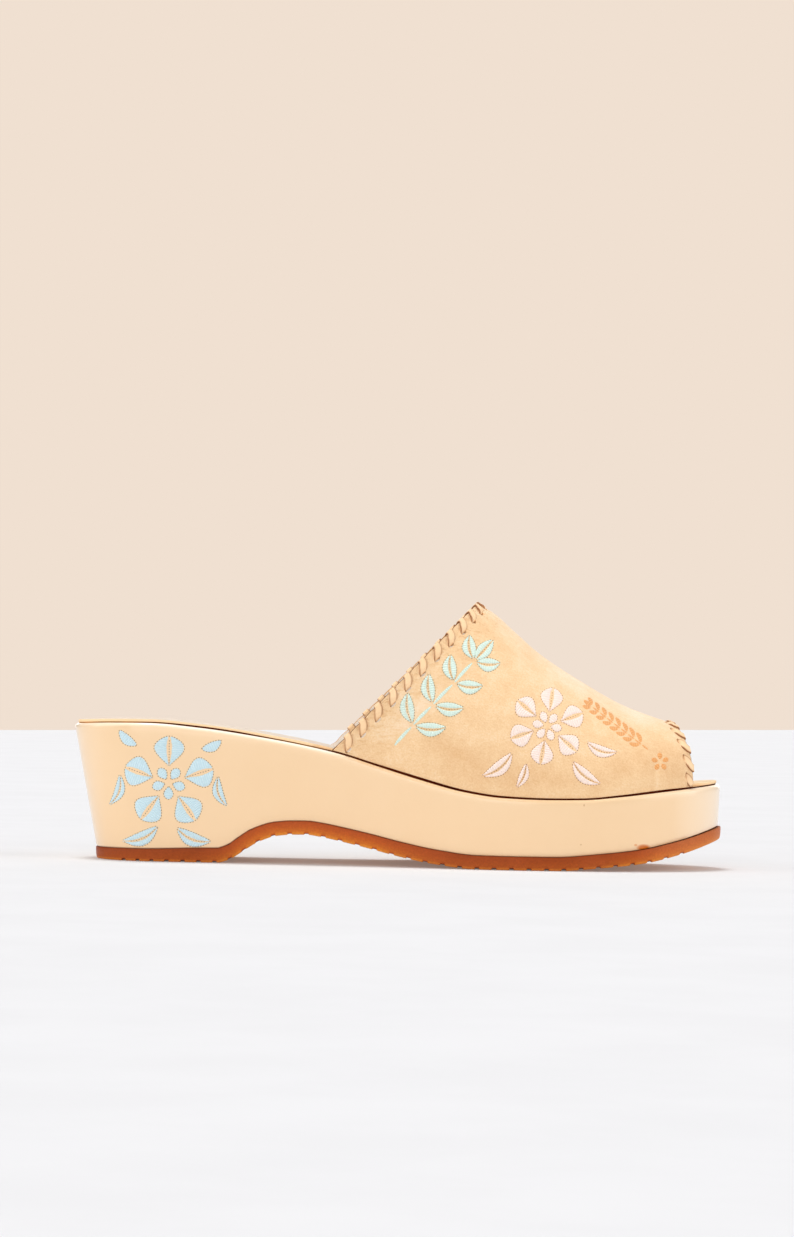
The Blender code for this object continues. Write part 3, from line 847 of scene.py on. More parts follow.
def upper_normal(point, reach=0.2):
    gradient = Vector((0.0, 0.0, 0.0))
    for axis in range(3):
        step = Vector((0.0, 0.0, 0.0))
        step[axis] = reach
        gradient[axis] = upper_depth(point + step) - upper_depth(point - step)
    return gradient.normalized()


def collar_gap(station, angle):
    """How far a point of the upper lies ahead of the collar's slanting cut."""
    foot = mix(COLLAR_FOOT_OUTER, COLLAR_FOOT_INNER, (1 - math.cos(angle)) / 2)
    risen = (upper_point(station, angle).z - COLLAR_FOOT_HEIGHT) / (COLLAR_TOP_HEIGHT - COLLAR_FOOT_HEIGHT)
    return station - mix(foot, COLLAR_TOP_STATION, risen)


def toe_gap(station, angle):
    """How far a point of the upper lies ahead of the toe opening's raked cut."""
    risen = (upper_point(station, angle).z - TOE_FOOT_HEIGHT) / TOE_RISE
    risen = min(max(risen, 0.0), TOE_RISEN_MOST)
    return station - (TOE_FOOT_STATION - TOE_RAKE * risen**TOE_RAKE_POWER)


def edge_station(gap, angle):
    """The station where a cut meets the upper at this angle, found by halving."""
    low, high = CUT_FROM, CUT_TO
    for _ in range(HALVINGS):
        middle = (low + high) / 2
        if gap(middle, angle) < 0:
            low = middle
        else:
            high = middle
    return (low + high) / 2


# An edge with its lacing: its points and the distance run along it at each, which way the leather lies, the
# run of each punched slot, how far the lace's leg reaches below the edge, the share of the pitch that the
# lace moves on by over the outside, and how far it draws the edge in.
Edge = namedtuple("Edge", "points runs into_x slots leg advance scallop")


def laced_edge(gap, into_x, stitches, first, last, leg, advance, scallop):
    """An edge with its slots spread evenly, between first from its start and last from its end."""
    angles = [math.pi * i / EDGE_STEPS for i in range(EDGE_STEPS + 1)]
    if into_x < 0:
        angles.reverse()
    points = [upper_point(edge_station(gap, angle), angle) for angle in angles]
    runs = [0.0]
    for before, after in zip(points, points[1:]):
        runs.append(runs[-1] + (after - before).length)
    slots = [mix(first, runs[-1] - last, i / (stitches - 1)) for i in range(stitches)]
    return Edge(points, runs, into_x, slots, leg, advance, scallop)


def wall_point(edge, run, depth):
    """A place on the outer face at a depth from an edge, its normal, and the way on into the leather."""
    run = min(max(run, 0.0), edge.runs[-1])
    i = 0
    while i < len(edge.runs) - 2 and run > edge.runs[i + 1]:
        i += 1
    before, after = edge.points[i], edge.points[i + 1]
    spot = before.lerp(after, (run - edge.runs[i]) / (edge.runs[i + 1] - edge.runs[i]))
    normal = upper_normal(spot)
    into = normal.cross((after - before).normalized()).normalized()
    if into.x * edge.into_x < 0:
        into = -into
    if depth > 0:
        spot = on_upper(spot + into * depth)
        normal = upper_normal(spot)
        into = (into - normal * into.dot(normal)).normalized()
    return spot, normal, into


collar_edge = laced_edge(collar_gap, 1, stitches=23, first=4.6, last=7.4, leg=2.5, advance=0.46, scallop=0.3)
toe_edge = laced_edge(toe_gap, -1, stitches=10, first=7.0, last=4.1, leg=1.75, advance=0.56, scallop=0.15)

# Where each stitch pulls the leather: its slot, where it goes over the edge, and how far it draws that in.
Pull = namedtuple("Pull", "slot crossing drawn")
THONG_THICK = 0.8
THONG_CLEAR = 0.05
THONG_SWING = WALL / 2 + THONG_CLEAR + THONG_THICK / 2
SLOT_BELOW = 0.42
DENT_DEPTH = 0.2
DENT_REACH = 1.8
SCALLOP_REACH = 2.3
PULL_REACH = 9.0
slot_places = []
pulls = []
for edge in (collar_edge, toe_edge):
    step = (edge.slots[1] - edge.slots[0]) * edge.advance
    for run in edge.slots:
        slot_places.append(wall_point(edge, run, edge.leg + THONG_SWING + SLOT_BELOW))
        over, _, into = wall_point(edge, run + step, 0.0)
        pulls.append(Pull(slot_places[-1][0], over, into * edge.scallop))


def lace_pull(point, normal):
    """How far the lacings draw a point of the leather down and in."""
    shift = Vector((0.0, 0.0, 0.0))
    dent = 0.0
    for pull in pulls:
        off = (point - pull.crossing).length
        if off > PULL_REACH:
            continue
        shift += pull.drawn * math.exp(-((off / SCALLOP_REACH) ** 2))
        leg = pull.crossing - pull.slot
        share = min(max((point - pull.slot).dot(leg) / leg.length_squared, 0.0), 1.0)
        off = (point - pull.slot - leg * share).length
        dent = max(dent, DENT_DEPTH * math.exp(-((off / DENT_REACH) ** 2)))
    return shift - normal * dent


# Soft marks placed in the side view: station, height, side, half length, half width, turn and amount. Side is
# -1 on the outer side, 1 on the inner one and 0 on both, and turn is the long way's angle from level in
# degrees. A dent's amount is its depth, and a patch's how much lighter it is painted. The patches are partly
# the suede's own mottle and partly painted light and shade: lighter along the ridge, darker low on the sides
# and towards the toe, and a crease's painted shade and highlight.
DENTS = (
    (128, 52, -1, 16, 7, 40, 0.6),
    (150, 72, -1, 18, 8, 30, 0.4),
    (205, 50, -1, 9, 4, 80, 0.35),
    (216, 46, -1, 8, 3.5, 84, 0.4),
    (226, 42, -1, 7, 2, 86, 0.5),
    (166, 90, 0, 7, 2.4, -40, 0.4),
    (172, 86, 0, 7, 2.4, -38, -0.3),
    (178, 80, 0, 8, 2.6, -34, 0.35),
    (136, 58, 1, 18, 8, 38, 0.6),
    (210, 48, 1, 10, 4, 78, 0.5),
)
# Painted highlights along the ridge, painted shade low down and in the crease, and some real mottle.
MOTTLE_AND_LIGHT_PATCHES = (
    (131, 60, -1, 12, 7, 50, 0.55),
    (124, 48, -1, 6, 4, 10, -0.1),
    (140, 47, -1, 9, 4, -25, -0.45),
    (152, 42, -1, 14, 6, -25, -0.45),
    (176, 35, -1, 22, 6, -5, -0.5),
    (215, 42, -1, 16, 8, 20, -0.45),
    (230, 39, -1, 10, 7, 10, -0.5),
    (224.2, 37, -1, 5, 0.9, 88, -0.3),
    (225.8, 37, -1, 5, 0.7, 88, 0.5),
    (156, 86, -1, 16, 5, 46, -0.25),
    (186, 74, -1, 14, 5, -30, 0.25),
    (218, 60, -1, 12, 5, -25, 0.4),
    (168, 93, 0, 12, 4, -44, 0.55),
    (194, 74, 0, 14, 4, -33, 0.6),
    (222, 61, 0, 14, 4, -20, 0.5),
    (140, 60, 1, 16, 8, 45, 0.4),
    (180, 44, 1, 20, 8, 0, -0.35),
    (215, 45, 1, 14, 7, 10, -0.3),
)
CRINKLE_REACH = 26.0
FEATHER_ROLL = 2.4
FEATHER_DRAW = 0.5
ROWS_ROUND = 300
ROWS_ALONG = 120
ROWS_CROWDING = 0.65


def marked(point, marks):
    """The sum of the soft marks at a point of the upper."""
    total = 0.0
    for station, height, side, half_length, half_wide, turn, amount in marks:
        if side * (point.y - plan_centre(point.x)) < 0:
            continue
        away = Vector((point.x - station, point.z - height))
        long_axis = Vector((math.cos(math.radians(turn)), math.sin(math.radians(turn))))
        long_way = away.dot(long_axis) / half_length
        short_way = away.dot(Vector((-long_axis.y, long_axis.x))) / half_wide
        total += amount * math.exp(-long_way * long_way - short_way * short_way)
    return total


upper = new_grid("upper_suede", ROWS_ALONG, ROWS_ROUND)
cuts = []
for i in range(ROWS_ROUND + 1):
    angle = math.pi * i / ROWS_ROUND
    cuts.append((angle, edge_station(collar_gap, angle), edge_station(toe_gap, angle)))
mottle_and_light = upper.data.attributes.new("mottle_and_light", "FLOAT", "POINT")
crinkle = upper.data.attributes.new("crinkle", "FLOAT", "POINT")
for vertex in upper.data.vertices:
    angle, collar_station, toe_station = cuts[round((vertex.co.y + 0.5) * ROWS_ROUND)]
    share = vertex.co.x + 0.5
    share -= ROWS_CROWDING * math.sin(math.tau * share) / math.tau
    station = mix(collar_station, toe_station, share)
    vertex.co = upper_point(station, angle)
    mottle_and_light.data[vertex.index].value = marked(vertex.co, MOTTLE_AND_LIGHT_PATCHES)
    crinkle.data[vertex.index].value = 1 - ease((station - collar_station) / CRINKLE_REACH)
upper.data.update()
outward = [vertex.normal.copy() for vertex in upper.data.vertices]
for vertex, normal in zip(upper.data.vertices, outward):
    point = vertex.co.copy()
    pushed = marked(point, DENTS)
    above_feather = point.z - wedge_top(point.x) - seam_gap(point.x)
    if above_feather < FEATHER_ROLL:
        pushed += FEATHER_DRAW * (1 - above_feather / FEATHER_ROLL) ** 2
    vertex.co = place(*(point - normal * pushed + lace_pull(point, normal)))
upper.data.update()

CRINKLE_SIZE = 1.3
NAP_SIZE = 0.6
INNER_PAINTED_LIGHT = 14.0
SUEDE_RAMP = ((0.0, srgb(218, 170, 120)), (0.5, srgb(238, 202, 157)), (1.0, srgb(250, 231, 208)))


def stretched(tree, coordinates, degrees, sizes):
    """Coordinates turned in the side view and stretched by sizes, for a pattern that runs one way."""
    inputs = {"Vector": coordinates, "Rotation": (0.0, math.radians(degrees), 0.0), "Scale": sizes}
    return add_node(tree, "Mapping", inputs, vector_type="TEXTURE")


def add_sum(tree, start, *shares):
    """The sum of a start value and of (socket, factor) pairs."""
    total = start
    for socket, factor in shares:
        total = add_node(tree, "Math", {0: socket, 1: factor, 2: total}, operation="MULTIPLY_ADD")
    return total


def suede():
    """Nude suede: a short clouded nap with light and dark patches, partly painted light and shade, and fine
    crinkles along the collar, with painted shade in their folds.
    """
    material, tree, coordinates = new_material("upper_suede")
    clouds, specks = add_mottle(tree, coordinates, 8, 0.6)
    creased = stretched(tree, coordinates, -8, (3.6, 1.4, 1.0))
    inputs = {"Vector": creased, "Scale": 1 / (CRINKLE_SIZE * MM), "Detail": 3.0, "Distortion": 0.6}
    folds = map_range(tree, add_node(tree, "TexNoise", inputs), (0.52, 0.68), how="SMOOTHSTEP")
    near_collar = read_attribute(tree, "crinkle")
    crinkles = add_node(tree, "Math", {0: folds, 1: near_collar}, operation="MULTIPLY")
    brushed = stretched(tree, coordinates, 24, (3.2, 1.6, 1.0))
    inputs = {"Vector": brushed, "Scale": 1 / (NAP_SIZE * MM), "Detail": 3.0, "Roughness": 0.65}
    nap = add_node(tree, "TexNoise", inputs)
    mottle_and_painted_light = read_attribute(tree, "mottle_and_light")
    # The patches' painted light and shade, mottle, nap, and the crinkles' painted shade in their folds.
    shade = add_sum(
        tree, 0.14, (mottle_and_painted_light, 0.34), (clouds, 0.17), (specks, 0.19), (nap, 0.32), (crinkles, -0.24)
    )
    grained = add_bump(tree, add_sum(tree, 0.0, (crinkles, -1.0), (clouds, 0.35)), 0.45, 0.3)
    looks = {
        "Base Color": colour_ramp(tree, shade, SUEDE_RAMP),
        "Normal": add_bump(tree, specks, 0.35, 0.15, over=grained),
        "Roughness": map_range(tree, specks, to=(0.84, 0.96)),
        "Specular IOR Level": 0.2,
        "Sheen Weight": 0.22,
        "Sheen Roughness": 0.5,
        "Sheen Tint": srgb(255, 242, 226),
    }
    set_shader(tree, looks)
    return material


def raw_cut(name, dark, pale):
    """A raw cut through suede and lining, darker and rougher than both, its dark partly painted shade,
    and painted lighter on the inner side.
    """
    material, tree, coordinates = new_material(name)
    _, specks = add_mottle(tree, coordinates, 5, 0.3)
    across = add_node(tree, "SeparateXYZ", {"Vector": coordinates}, "Y")
    # Painted light: the inner side's edge paler.
    inner = map_range(tree, across, (0.0, INNER_PAINTED_LIGHT * MM))
    looks = {
        "Base Color": blend(tree, inner, blend(tree, specks, dark, pale), srgb(206, 160, 112)),
        "Normal": add_bump(tree, specks, 0.4, 0.15),
        "Roughness": 0.9,
        "Specular IOR Level": 0.1,
    }
    set_shader(tree, looks)
    return material


def apply_modifier(piece, kind, **settings):
    """A modifier with these settings, put on the active piece and applied."""
    added = piece.modifiers.new(kind.lower(), kind)
    for key, value in settings.items():
        setattr(added, key, value)
    bpy.ops.object.modifier_apply(modifier=added.name)


def join_pieces(name, pieces):
    """Several objects joined into the first of them, which is left selected and active."""
    bpy.ops.object.select_all(action="DESELECT")
    for piece in pieces:
        piece.select_set(True)
    bpy.context.view_layer.objects.active = pieces[0]
    bpy.ops.object.join()
    joined = bpy.context.object
    joined.name = name
    joined.data.name = name
    return joined


LINING_SLOT, CUT_EDGE_SLOT, PUNCHED_SLOT = 1, 2, 3
lining_leather = smooth_leather("lining_leather", srgb(250, 242, 232), srgb(244, 233, 220), 0.6, 0.3)
upper.data.materials.append(suede())
upper.data.materials.append(lining_leather)
# The cut edge's dark brown is partly painted shade between the laces; the slot walls are painted shade.
upper.data.materials.append(raw_cut("cut_edge_shade_and_light", srgb(84, 44, 22), srgb(116, 68, 38)))
upper.data.materials.append(raw_cut("punched_wall_shade", srgb(56, 27, 12), srgb(74, 38, 18)))
apply_modifier(
    upper,
    "SOLIDIFY",
    thickness=WALL * MM,
    offset=-1.0,
    use_even_offset=True,
    material_offset=LINING_SLOT,
    material_offset_rim=CUT_EDGE_SLOT,
)
apply_modifier(
    upper,
    "BEVEL",
    width=0.5 * MM,
    segments=2,
    limit_method="ANGLE",
    angle_limit=math.radians(60),
    material=CUT_EDGE_SLOT,
)

# The punch: one oval plug, copied to each slot and cut out of the wall.
SLOT_LENGTH = 2.9
SLOT_OPEN = 1.7
PLUG_DEEP = 6 * WALL
bpy.ops.object.select_all(action="DESELECT")
bpy.ops.mesh.primitive_cylinder_add(vertices=14, radius=0.5, depth=1.0)
plug = bpy.context.object
for _ in upper.data.materials:
    plug.data.materials.append(None)
for polygon in plug.data.polygons:
    polygon.material_index = PUNCHED_SLOT
plugs = []
for spot, normal, into in slot_places:
    one = plug.copy()
    one.data = plug.data.copy()
    sideways = into.cross(normal).normalized()
    turn = Matrix((sideways * SLOT_LENGTH * MM, into * SLOT_OPEN * MM, normal * PLUG_DEEP * MM)).transposed()
    centre = place(*(spot + lace_pull(spot, normal)))
    one.data.transform(Matrix.Translation(centre) @ turn.to_4x4())
    bpy.context.scene.collection.objects.link(one)
    plugs.append(one)
bpy.data.objects.remove(plug, do_unlink=True)
punch = join_pieces("punch", plugs)
turn_faces_out()
bpy.ops.object.select_all(action="DESELECT")
upper.select_set(True)
bpy.context.view_layer.objects.active = upper
apply_modifier(upper, "BOOLEAN", operation="DIFFERENCE", solver="EXACT", object=punch)
bpy.data.objects.remove(punch, do_unlink=True)
shade_smooth(sharp_from=50)
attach(upper, "root")
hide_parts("upper")


# Lacings
# Flat laces of nude leather, one along the collar and one along the toe. From each slot the
# lace runs up the outside, over the edge and down inside to the next slot, pulled a little tight.
THONG_WIDTH = 3.0
EDGE_SWING = 0.5
TUCKED_AT = 0.7
TURN_STEPS = 5
LEG_STEPS = 4
SLOT_SQUEEZE = 0.9
SQUEEZE_RATE = 3.2
OUTER_HASTE = 2.2
INNER_HASTE = 3.0
LACE_SLIP = 0.035
LACE_CORNER = 0.34
LACE_SECTION_STEPS = 2


def crossing(leg):
    """A crossing from the middle of a slot to over the edge: rows of (depth, turned, bulge).

    turned is the share of a quarter turn away from the wall's face, and bulge says which way the
    turn swings: 1 into the leather, through the slot, and -1 out over the edge.
    """
    quarter = [i / TURN_STEPS for i in range(TURN_STEPS + 1)]
    rows = [(leg, 1 - share, 1) for share in quarter]
    rows += [(leg * (1 - i / LEG_STEPS), 0.0, 1) for i in range(1, LEG_STEPS)]
    return rows + [(0.0, share, -1) for share in quarter]


def lace_route(edge, seed):
    """Rows of the lace's middle line: the point, the way out from the wall, and the share of its width.

    From each slot it slants up the outer face, over the edge, and down inside to the next slot.
    """
    draw = random.Random(seed)
    pitch = edge.slots[1] - edge.slots[0]
    outer = crossing(edge.leg)
    inner = outer[-2:0:-1]
    route = []

    def add(slot, row, inside, slip):
        depth, turned, bulge = row
        around = math.pi / 2 * turned
        swing = THONG_SWING if bulge > 0 else EDGE_SWING
        reach = depth + bulge * swing * math.sin(around)
        crossed = (edge.leg + THONG_SWING - reach) / (edge.leg + THONG_SWING + EDGE_SWING)
        over_edge = edge.advance + slip
        if inside:
            advance = 1 - (1 - over_edge) * (1 - (1 - crossed) ** INNER_HASTE)
        else:
            advance = over_edge * (1 - (1 - crossed) ** OUTER_HASTE)
        spot, normal, into = wall_point(edge, slot + pitch * advance, depth)
        outward = normal * (-math.cos(around) if inside else math.cos(around))
        endward = into * (bulge * math.sin(around))
        away = (outward / THONG_SWING + endward / swing).normalized()
        wide = mix(SLOT_SQUEEZE, 1.0, ease(SQUEEZE_RATE * crossed))
        spot = spot + lace_pull(spot, normal) - normal * (WALL / 2)
        route.append((spot + outward * THONG_SWING + endward * swing, away, wide))
        return crossed

    for row in inner:
        if row[2] == 1:
            add(edge.slots[0] - pitch, row, True, 0.0)
    for slot in edge.slots[:-1]:
        slip = draw.uniform(-LACE_SLIP, LACE_SLIP)
        for row in outer:
            add(slot, row, False, slip)
        for row in inner:
            add(slot, row, True, slip)
    for row in outer:
        if add(edge.slots[-1], row, False, 0.0) > TUCKED_AT:
            route.pop()
            break
    return route


def lace_section():
    """The lace's rounded section as (across, through) points, in millimetres."""
    points = []
    for side, face, start in ((1, 1, 0), (-1, 1, 1), (-1, -1, 2), (1, -1, 3)):
        for i in range(LACE_SECTION_STEPS + 1):
            turn = math.pi / 2 * (start + i / LACE_SECTION_STEPS)
            across = side * (THONG_WIDTH / 2 - LACE_CORNER) + LACE_CORNER * math.cos(turn)
            through = face * (THONG_THICK / 2 - LACE_CORNER) + LACE_CORNER * math.sin(turn)
            points.append((across, through))
    return points


def make_lace(name, edge, seed):
    """A grid wrapped round the section and drawn along the route, closed at its seam and its two ends."""
    route = lace_route(edge, seed)
    section = lace_section()
    rows, around = len(route) - 1, len(section)
    frames = []
    for i, (point, away, wide) in enumerate(route):
        ahead = (route[min(i + 1, rows)][0] - route[max(i - 1, 0)][0]).normalized()
        through = (away - ahead * away.dot(ahead)).normalized()
        frames.append((point, through.cross(ahead).normalized() * wide, through))
    lace = new_grid(name, rows, around)
    tone = lace.data.attributes.new("tone", "FLOAT", "POINT")
    for vertex in lace.data.vertices:
        row = round((vertex.co.x + 0.5) * rows)
        point, across, through = frames[row]
        wide, thick = section[round((vertex.co.y + 0.5) * around) % around]
        # The tone is the share of the sides' brown, partly painted shade.
        tone.data[vertex.index].value = ease((abs(wide) - THONG_WIDTH / 2) / LACE_CORNER + 1)
        drawn = 0.0 if row in (0, rows) else 1.0
        vertex.co = place(*(point + (across * wide + through * thick) * drawn))
    turn_faces_out(MERGE_WITHIN)
    apply_modifier(lace, "SUBSURF", levels=1, render_levels=1)
    shade_smooth(sharp_from=60)
    return lace


def lace_face_and_shaded_sides(tree, coordinates, face):
    """The lace's finished face, with its raw sides brown, darkened as painted shade along its outline."""
    return blend(tree, read_attribute(tree, "tone"), face, srgb(158, 100, 56))


lace_leather = smooth_leather(
    "lace_leather", srgb(248, 212, 168), srgb(238, 196, 148), 0.5, 0.35, lace_face_and_shaded_sides
)
for lace_name, node, edge, seed in (
    ("collar_lacing", "collar_thong", collar_edge, 4),
    ("toe_lacing", "toe_thong", toe_edge, 9),
):
    lace = make_lace(lace_name, edge, seed)
    lace.data.materials.append(lace_leather)
    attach(lace, "root")
    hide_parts(node)


# Embroidery
# Satin-stitched blossoms and leaves in pale thread, padded a little, split along their middles and edged
# with a running stitch, and a thin ear of grain. They lie on the outer sides of the wedge and the vamp.
PETAL_ROWS = 36
PETAL_COLUMNS = 8
PETAL_TRIM = 0.004
SWELL_POWER = 0.8
PAD_RISE = 0.3
PAD_SUNK = 0.12
PAD_THICK = 0.4
PAD_FULL_WIDTH = 4.0
PAD_END_RATE = 9
MIDRIB = 0.13
EDGE_JAG = 0.24
EDGE_OFF = 0.14
EDGE_STITCH_PITCH = 1.05
EDGE_STITCH_LENGTH = 0.62
EDGE_STITCH_WIDE = 0.33
EDGE_STITCH_HIGH = 0.2
RAY_FROM = -200.0
OUTLINE_STEPS = 40
OUTLINE_TRIM = 0.02
RIB_STEPS = 20
RIB_FROM = 0.1
RIB_LONG = 0.75
LOOK_AHEAD = 0.3
LEAST_STEP = 1e-6
LEAF_FULLNESS = 0.95
LEAF_BOW = 0.1
STEM_BOW = 0.02
Petal = namedtuple("Petal", "root tip width bow fullness split")
needle = random.Random(21)


def sewn_point(carrier, station, height):
    """The point of a finished piece's outer side at a place in the side view, and its normal."""
    start = place(station, RAY_FROM, height)
    found, spot, normal, _ = carrier.ray_cast(start, Vector((0.0, 1.0, 0.0)))
    if not found:
        raise ValueError(f"no leather behind station {station:.1f}, height {height:.1f}")
    return spot, normal


def petal_spot(petal, along, side, beyond=0.0):
    """A petal's place in the side view: along from root to tip, to a side from -1 to 1, and beyond it."""
    root, tip = Vector(petal.root), Vector(petal.tip)
    way = tip - root
    square = Vector((-way.y, way.x)).normalized()
    bowed = petal.bow * way.length * 4 * along * (1 - along)
    swell = math.sin(math.pi * along**petal.fullness) ** SWELL_POWER if 0 < along < 1 else 0.0
    off = side * swell * petal.width / 2 + math.copysign(beyond, side)
    return root + way * along + square * (bowed + off)


def make_pad(carrier, petal, low, high):
    """A padded satin shape between two sides of a petal, on the carrier, with a UV map in millimetres."""
    pad = new_grid("pad", PETAL_ROWS, PETAL_COLUMNS)
    length = (Vector(petal.tip) - Vector(petal.root)).length
    full_rise = PAD_RISE * min(1.0, petal.width / PAD_FULL_WIDTH) + PAD_SUNK
    for loop, sewn in zip(pad.data.loops, pad.data.uv_layers.active.data):
        corner = pad.data.vertices[loop.vertex_index].co
        sewn.uv = ((corner.x + 0.5) * length, corner.y * petal.width)
    jags = [[needle.uniform(-EDGE_JAG, EDGE_JAG) for _ in range(PETAL_ROWS + 1)] for _ in range(2)]
    for vertex in pad.data.vertices:
        row = round((vertex.co.x + 0.5) * PETAL_ROWS)
        along = PETAL_TRIM + (1 - 2 * PETAL_TRIM) * row / PETAL_ROWS
        local = 2 * vertex.co.y
        jag = jags[0 if local < 0 else 1][row] * abs(local) ** 3
        flat = petal_spot(petal, along, mix(low, high, vertex.co.y + 0.5), jag)
        spot, normal = sewn_point(carrier, flat.x, flat.y)
        ends = ease(along * PAD_END_RATE) * ease((1 - along) * PAD_END_RATE)
        rise = full_rise * math.sqrt(max(0.0, 1 - local**4)) * ends - PAD_SUNK
        vertex.co = spot + normal * rise * MM
    turn_faces_out()
    pad.data.update()
    if pad.data.polygons[len(pad.data.polygons) // 2].normal.y > 0:
        bpy.ops.object.mode_set(mode="EDIT")
        bpy.ops.mesh.flip_normals()
        bpy.ops.object.mode_set(mode="OBJECT")
    apply_modifier(pad, "SOLIDIFY", thickness=PAD_THICK * MM, offset=-1.0)
    return pad


def make_petal(carrier, petal):
    """The pads of a petal: one, or two with the bare leather of a midrib between them where it is split."""
    halves = ((-1.0, -MIDRIB), (MIDRIB, 1.0)) if petal.split else ((-1.0, 1.0),)
    return [make_pad(carrier, petal, low, high) for low, high in halves]


def petal_outlines(petal):
    """Lines of running stitch in the side view: round the petal, and along the midrib of a split one."""
    shares = [OUTLINE_TRIM + (1 - 2 * OUTLINE_TRIM) * i / OUTLINE_STEPS for i in range(OUTLINE_STEPS + 1)]
    there = [petal_spot(petal, share, 1.0, EDGE_OFF) for share in shares]
    back = [petal_spot(petal, share, -1.0, EDGE_OFF) for share in reversed(shares)]
    found = [there + back + there[:1]]
    if petal.split:
        rib = [RIB_FROM + RIB_LONG * i / RIB_STEPS for i in range(RIB_STEPS + 1)]
        found.append([petal_spot(petal, share, 0.0) for share in rib])
    return found


def edge_stitches(carrier, outlines):
    """Places and directions of a running stitch along lines in the side view."""
    found = []
    for outline in outlines:
        due = 0.0
        for before, after in zip(outline, outline[1:]):
            step = max((after - before).length, LEAST_STEP)
            while due < step:
                flat = before.lerp(after, due / step)
                spot, normal = sewn_point(carrier, flat.x, flat.y)
                ahead, _ = sewn_point(carrier, *(flat + (after - before) * (LOOK_AHEAD / step)))
                found.append((spot, normal, (ahead - spot).normalized()))
                due += EDGE_STITCH_PITCH
            due -= step
    return found


def make_stitches(name, places):
    """One short stitch, modelled once and copied to every place in one mesh."""
    bpy.ops.object.select_all(action="DESELECT")
    bpy.ops.mesh.primitive_ico_sphere_add(subdivisions=1, radius=0.5)
    stitch = bpy.context.object
    corners = [vertex.co.copy() for vertex in stitch.data.vertices]
    sides = [tuple(polygon.vertices) for polygon in stitch.data.polygons]
    points, faces = [], []
    for spot, normal, ahead in places:
        across = normal.cross(ahead).normalized()
        start = len(points)
        for corner in corners:
            offset = ahead * corner.x * EDGE_STITCH_LENGTH + across * corner.y * EDGE_STITCH_WIDE
            points.append(spot + (offset + normal * corner.z * EDGE_STITCH_HIGH) * MM)
        faces += [tuple(start + i for i in side) for side in sides]
    stitch.data.clear_geometry()
    stitch.data.from_pydata(points, [], faces)
    stitch.name = name
    stitch.data.name = name
    bpy.ops.object.shade_smooth()
    return stitch


def satin_thread(name, colour, shade):
    """Satin stitch: fine threads side by side, each a little different, read from the petal's own UV map,
    with painted shade between the threads.
    """
    material, tree, _ = new_material(name)
    sewn = add_node(tree, "UVMap")
    inputs = {"Vector": sewn, "Scale": 0.37, "Distortion": 0.9, "Detail": 1.0}
    threads = add_node(tree, "TexWave", inputs, "Fac", wave_type="BANDS", bands_direction="X")
    lots = add_node(tree, "Mapping", {"Vector": sewn, "Scale": (1.6, 0.12, 1.0)})
    dye = add_node(tree, "TexNoise", {"Vector": lots, "Scale": 1.0, "Detail": 2.0})
    base = blend(tree, dye, colour, shade)
    looks = {
        # The threads' bands are painted shade between the threads.
        "Base Color": blend(tree, 0.75, base, blend(tree, threads, shade, base)),
        "Normal": add_bump(tree, threads, 0.8, 0.22),
        "Roughness": 0.5,
        "Sheen Weight": 0.15,
    }
    set_shader(tree, looks)
    return material


def edging_thread(name, colour, dark):
    """A thin twisted thread in two tones."""
    material, tree, coordinates = new_material(name)
    clouds, specks = add_mottle(tree, coordinates, 6, 0.4)
    twist = add_bump(tree, specks, 0.3, 0.1)
    set_shader(tree, {"Base Color": blend(tree, clouds, colour, dark), "Normal": twist, "Roughness": 0.7})
    return material


def blossom(centre, petals, inner, outer, width, turn, fullness=1.35, split=False):
    """Petals set evenly round a centre."""
    found = []
    middle = Vector(centre)
    for i in range(petals):
        angle = math.radians(turn + 360 / petals * i)
        way = Vector((math.cos(angle), math.sin(angle)))
        found.append(Petal(middle + way * inner, middle + way * outer, width, 0.0, fullness, split))
    return found


def leaf(root, tip, width, bow, split=True):
    return Petal(root, tip, width, bow, LEAF_FULLNESS, split)


def turned(way, degrees):
    """A direction in the side view, turned by an angle."""
    across, up = math.cos(math.radians(degrees)), math.sin(math.radians(degrees))
    return Vector((way.x * across - way.y * up, way.x * up + way.y * across))


def leafy_branch(points, leaf_length, leaf_width, spread, stem=1.3, shrink=0.07, split=True):
    """Leaves in pairs along a branch through points, and one at its tip."""
    found = []
    for number, (before, after) in enumerate(zip(points, points[1:])):
        start, way = Vector(after), (Vector(after) - Vector(before)).normalized()
        for side in (-1, 1):
            leaf_way = turned(way, spread * side)
            size = leaf_length * (1 - shrink * number)
            root = start + leaf_way * stem
            found.append(leaf(root, root + leaf_way * size, leaf_width, LEAF_BOW * side, split))
        found.append(Petal(before, after, stem, STEM_BOW, 1.0, False))
    tip = Vector(points[-1])
    way = (tip - Vector(points[-2])).normalized()
    found.append(leaf(tip + way * stem, tip + way * leaf_length, leaf_width, 0.0, split))
    return found


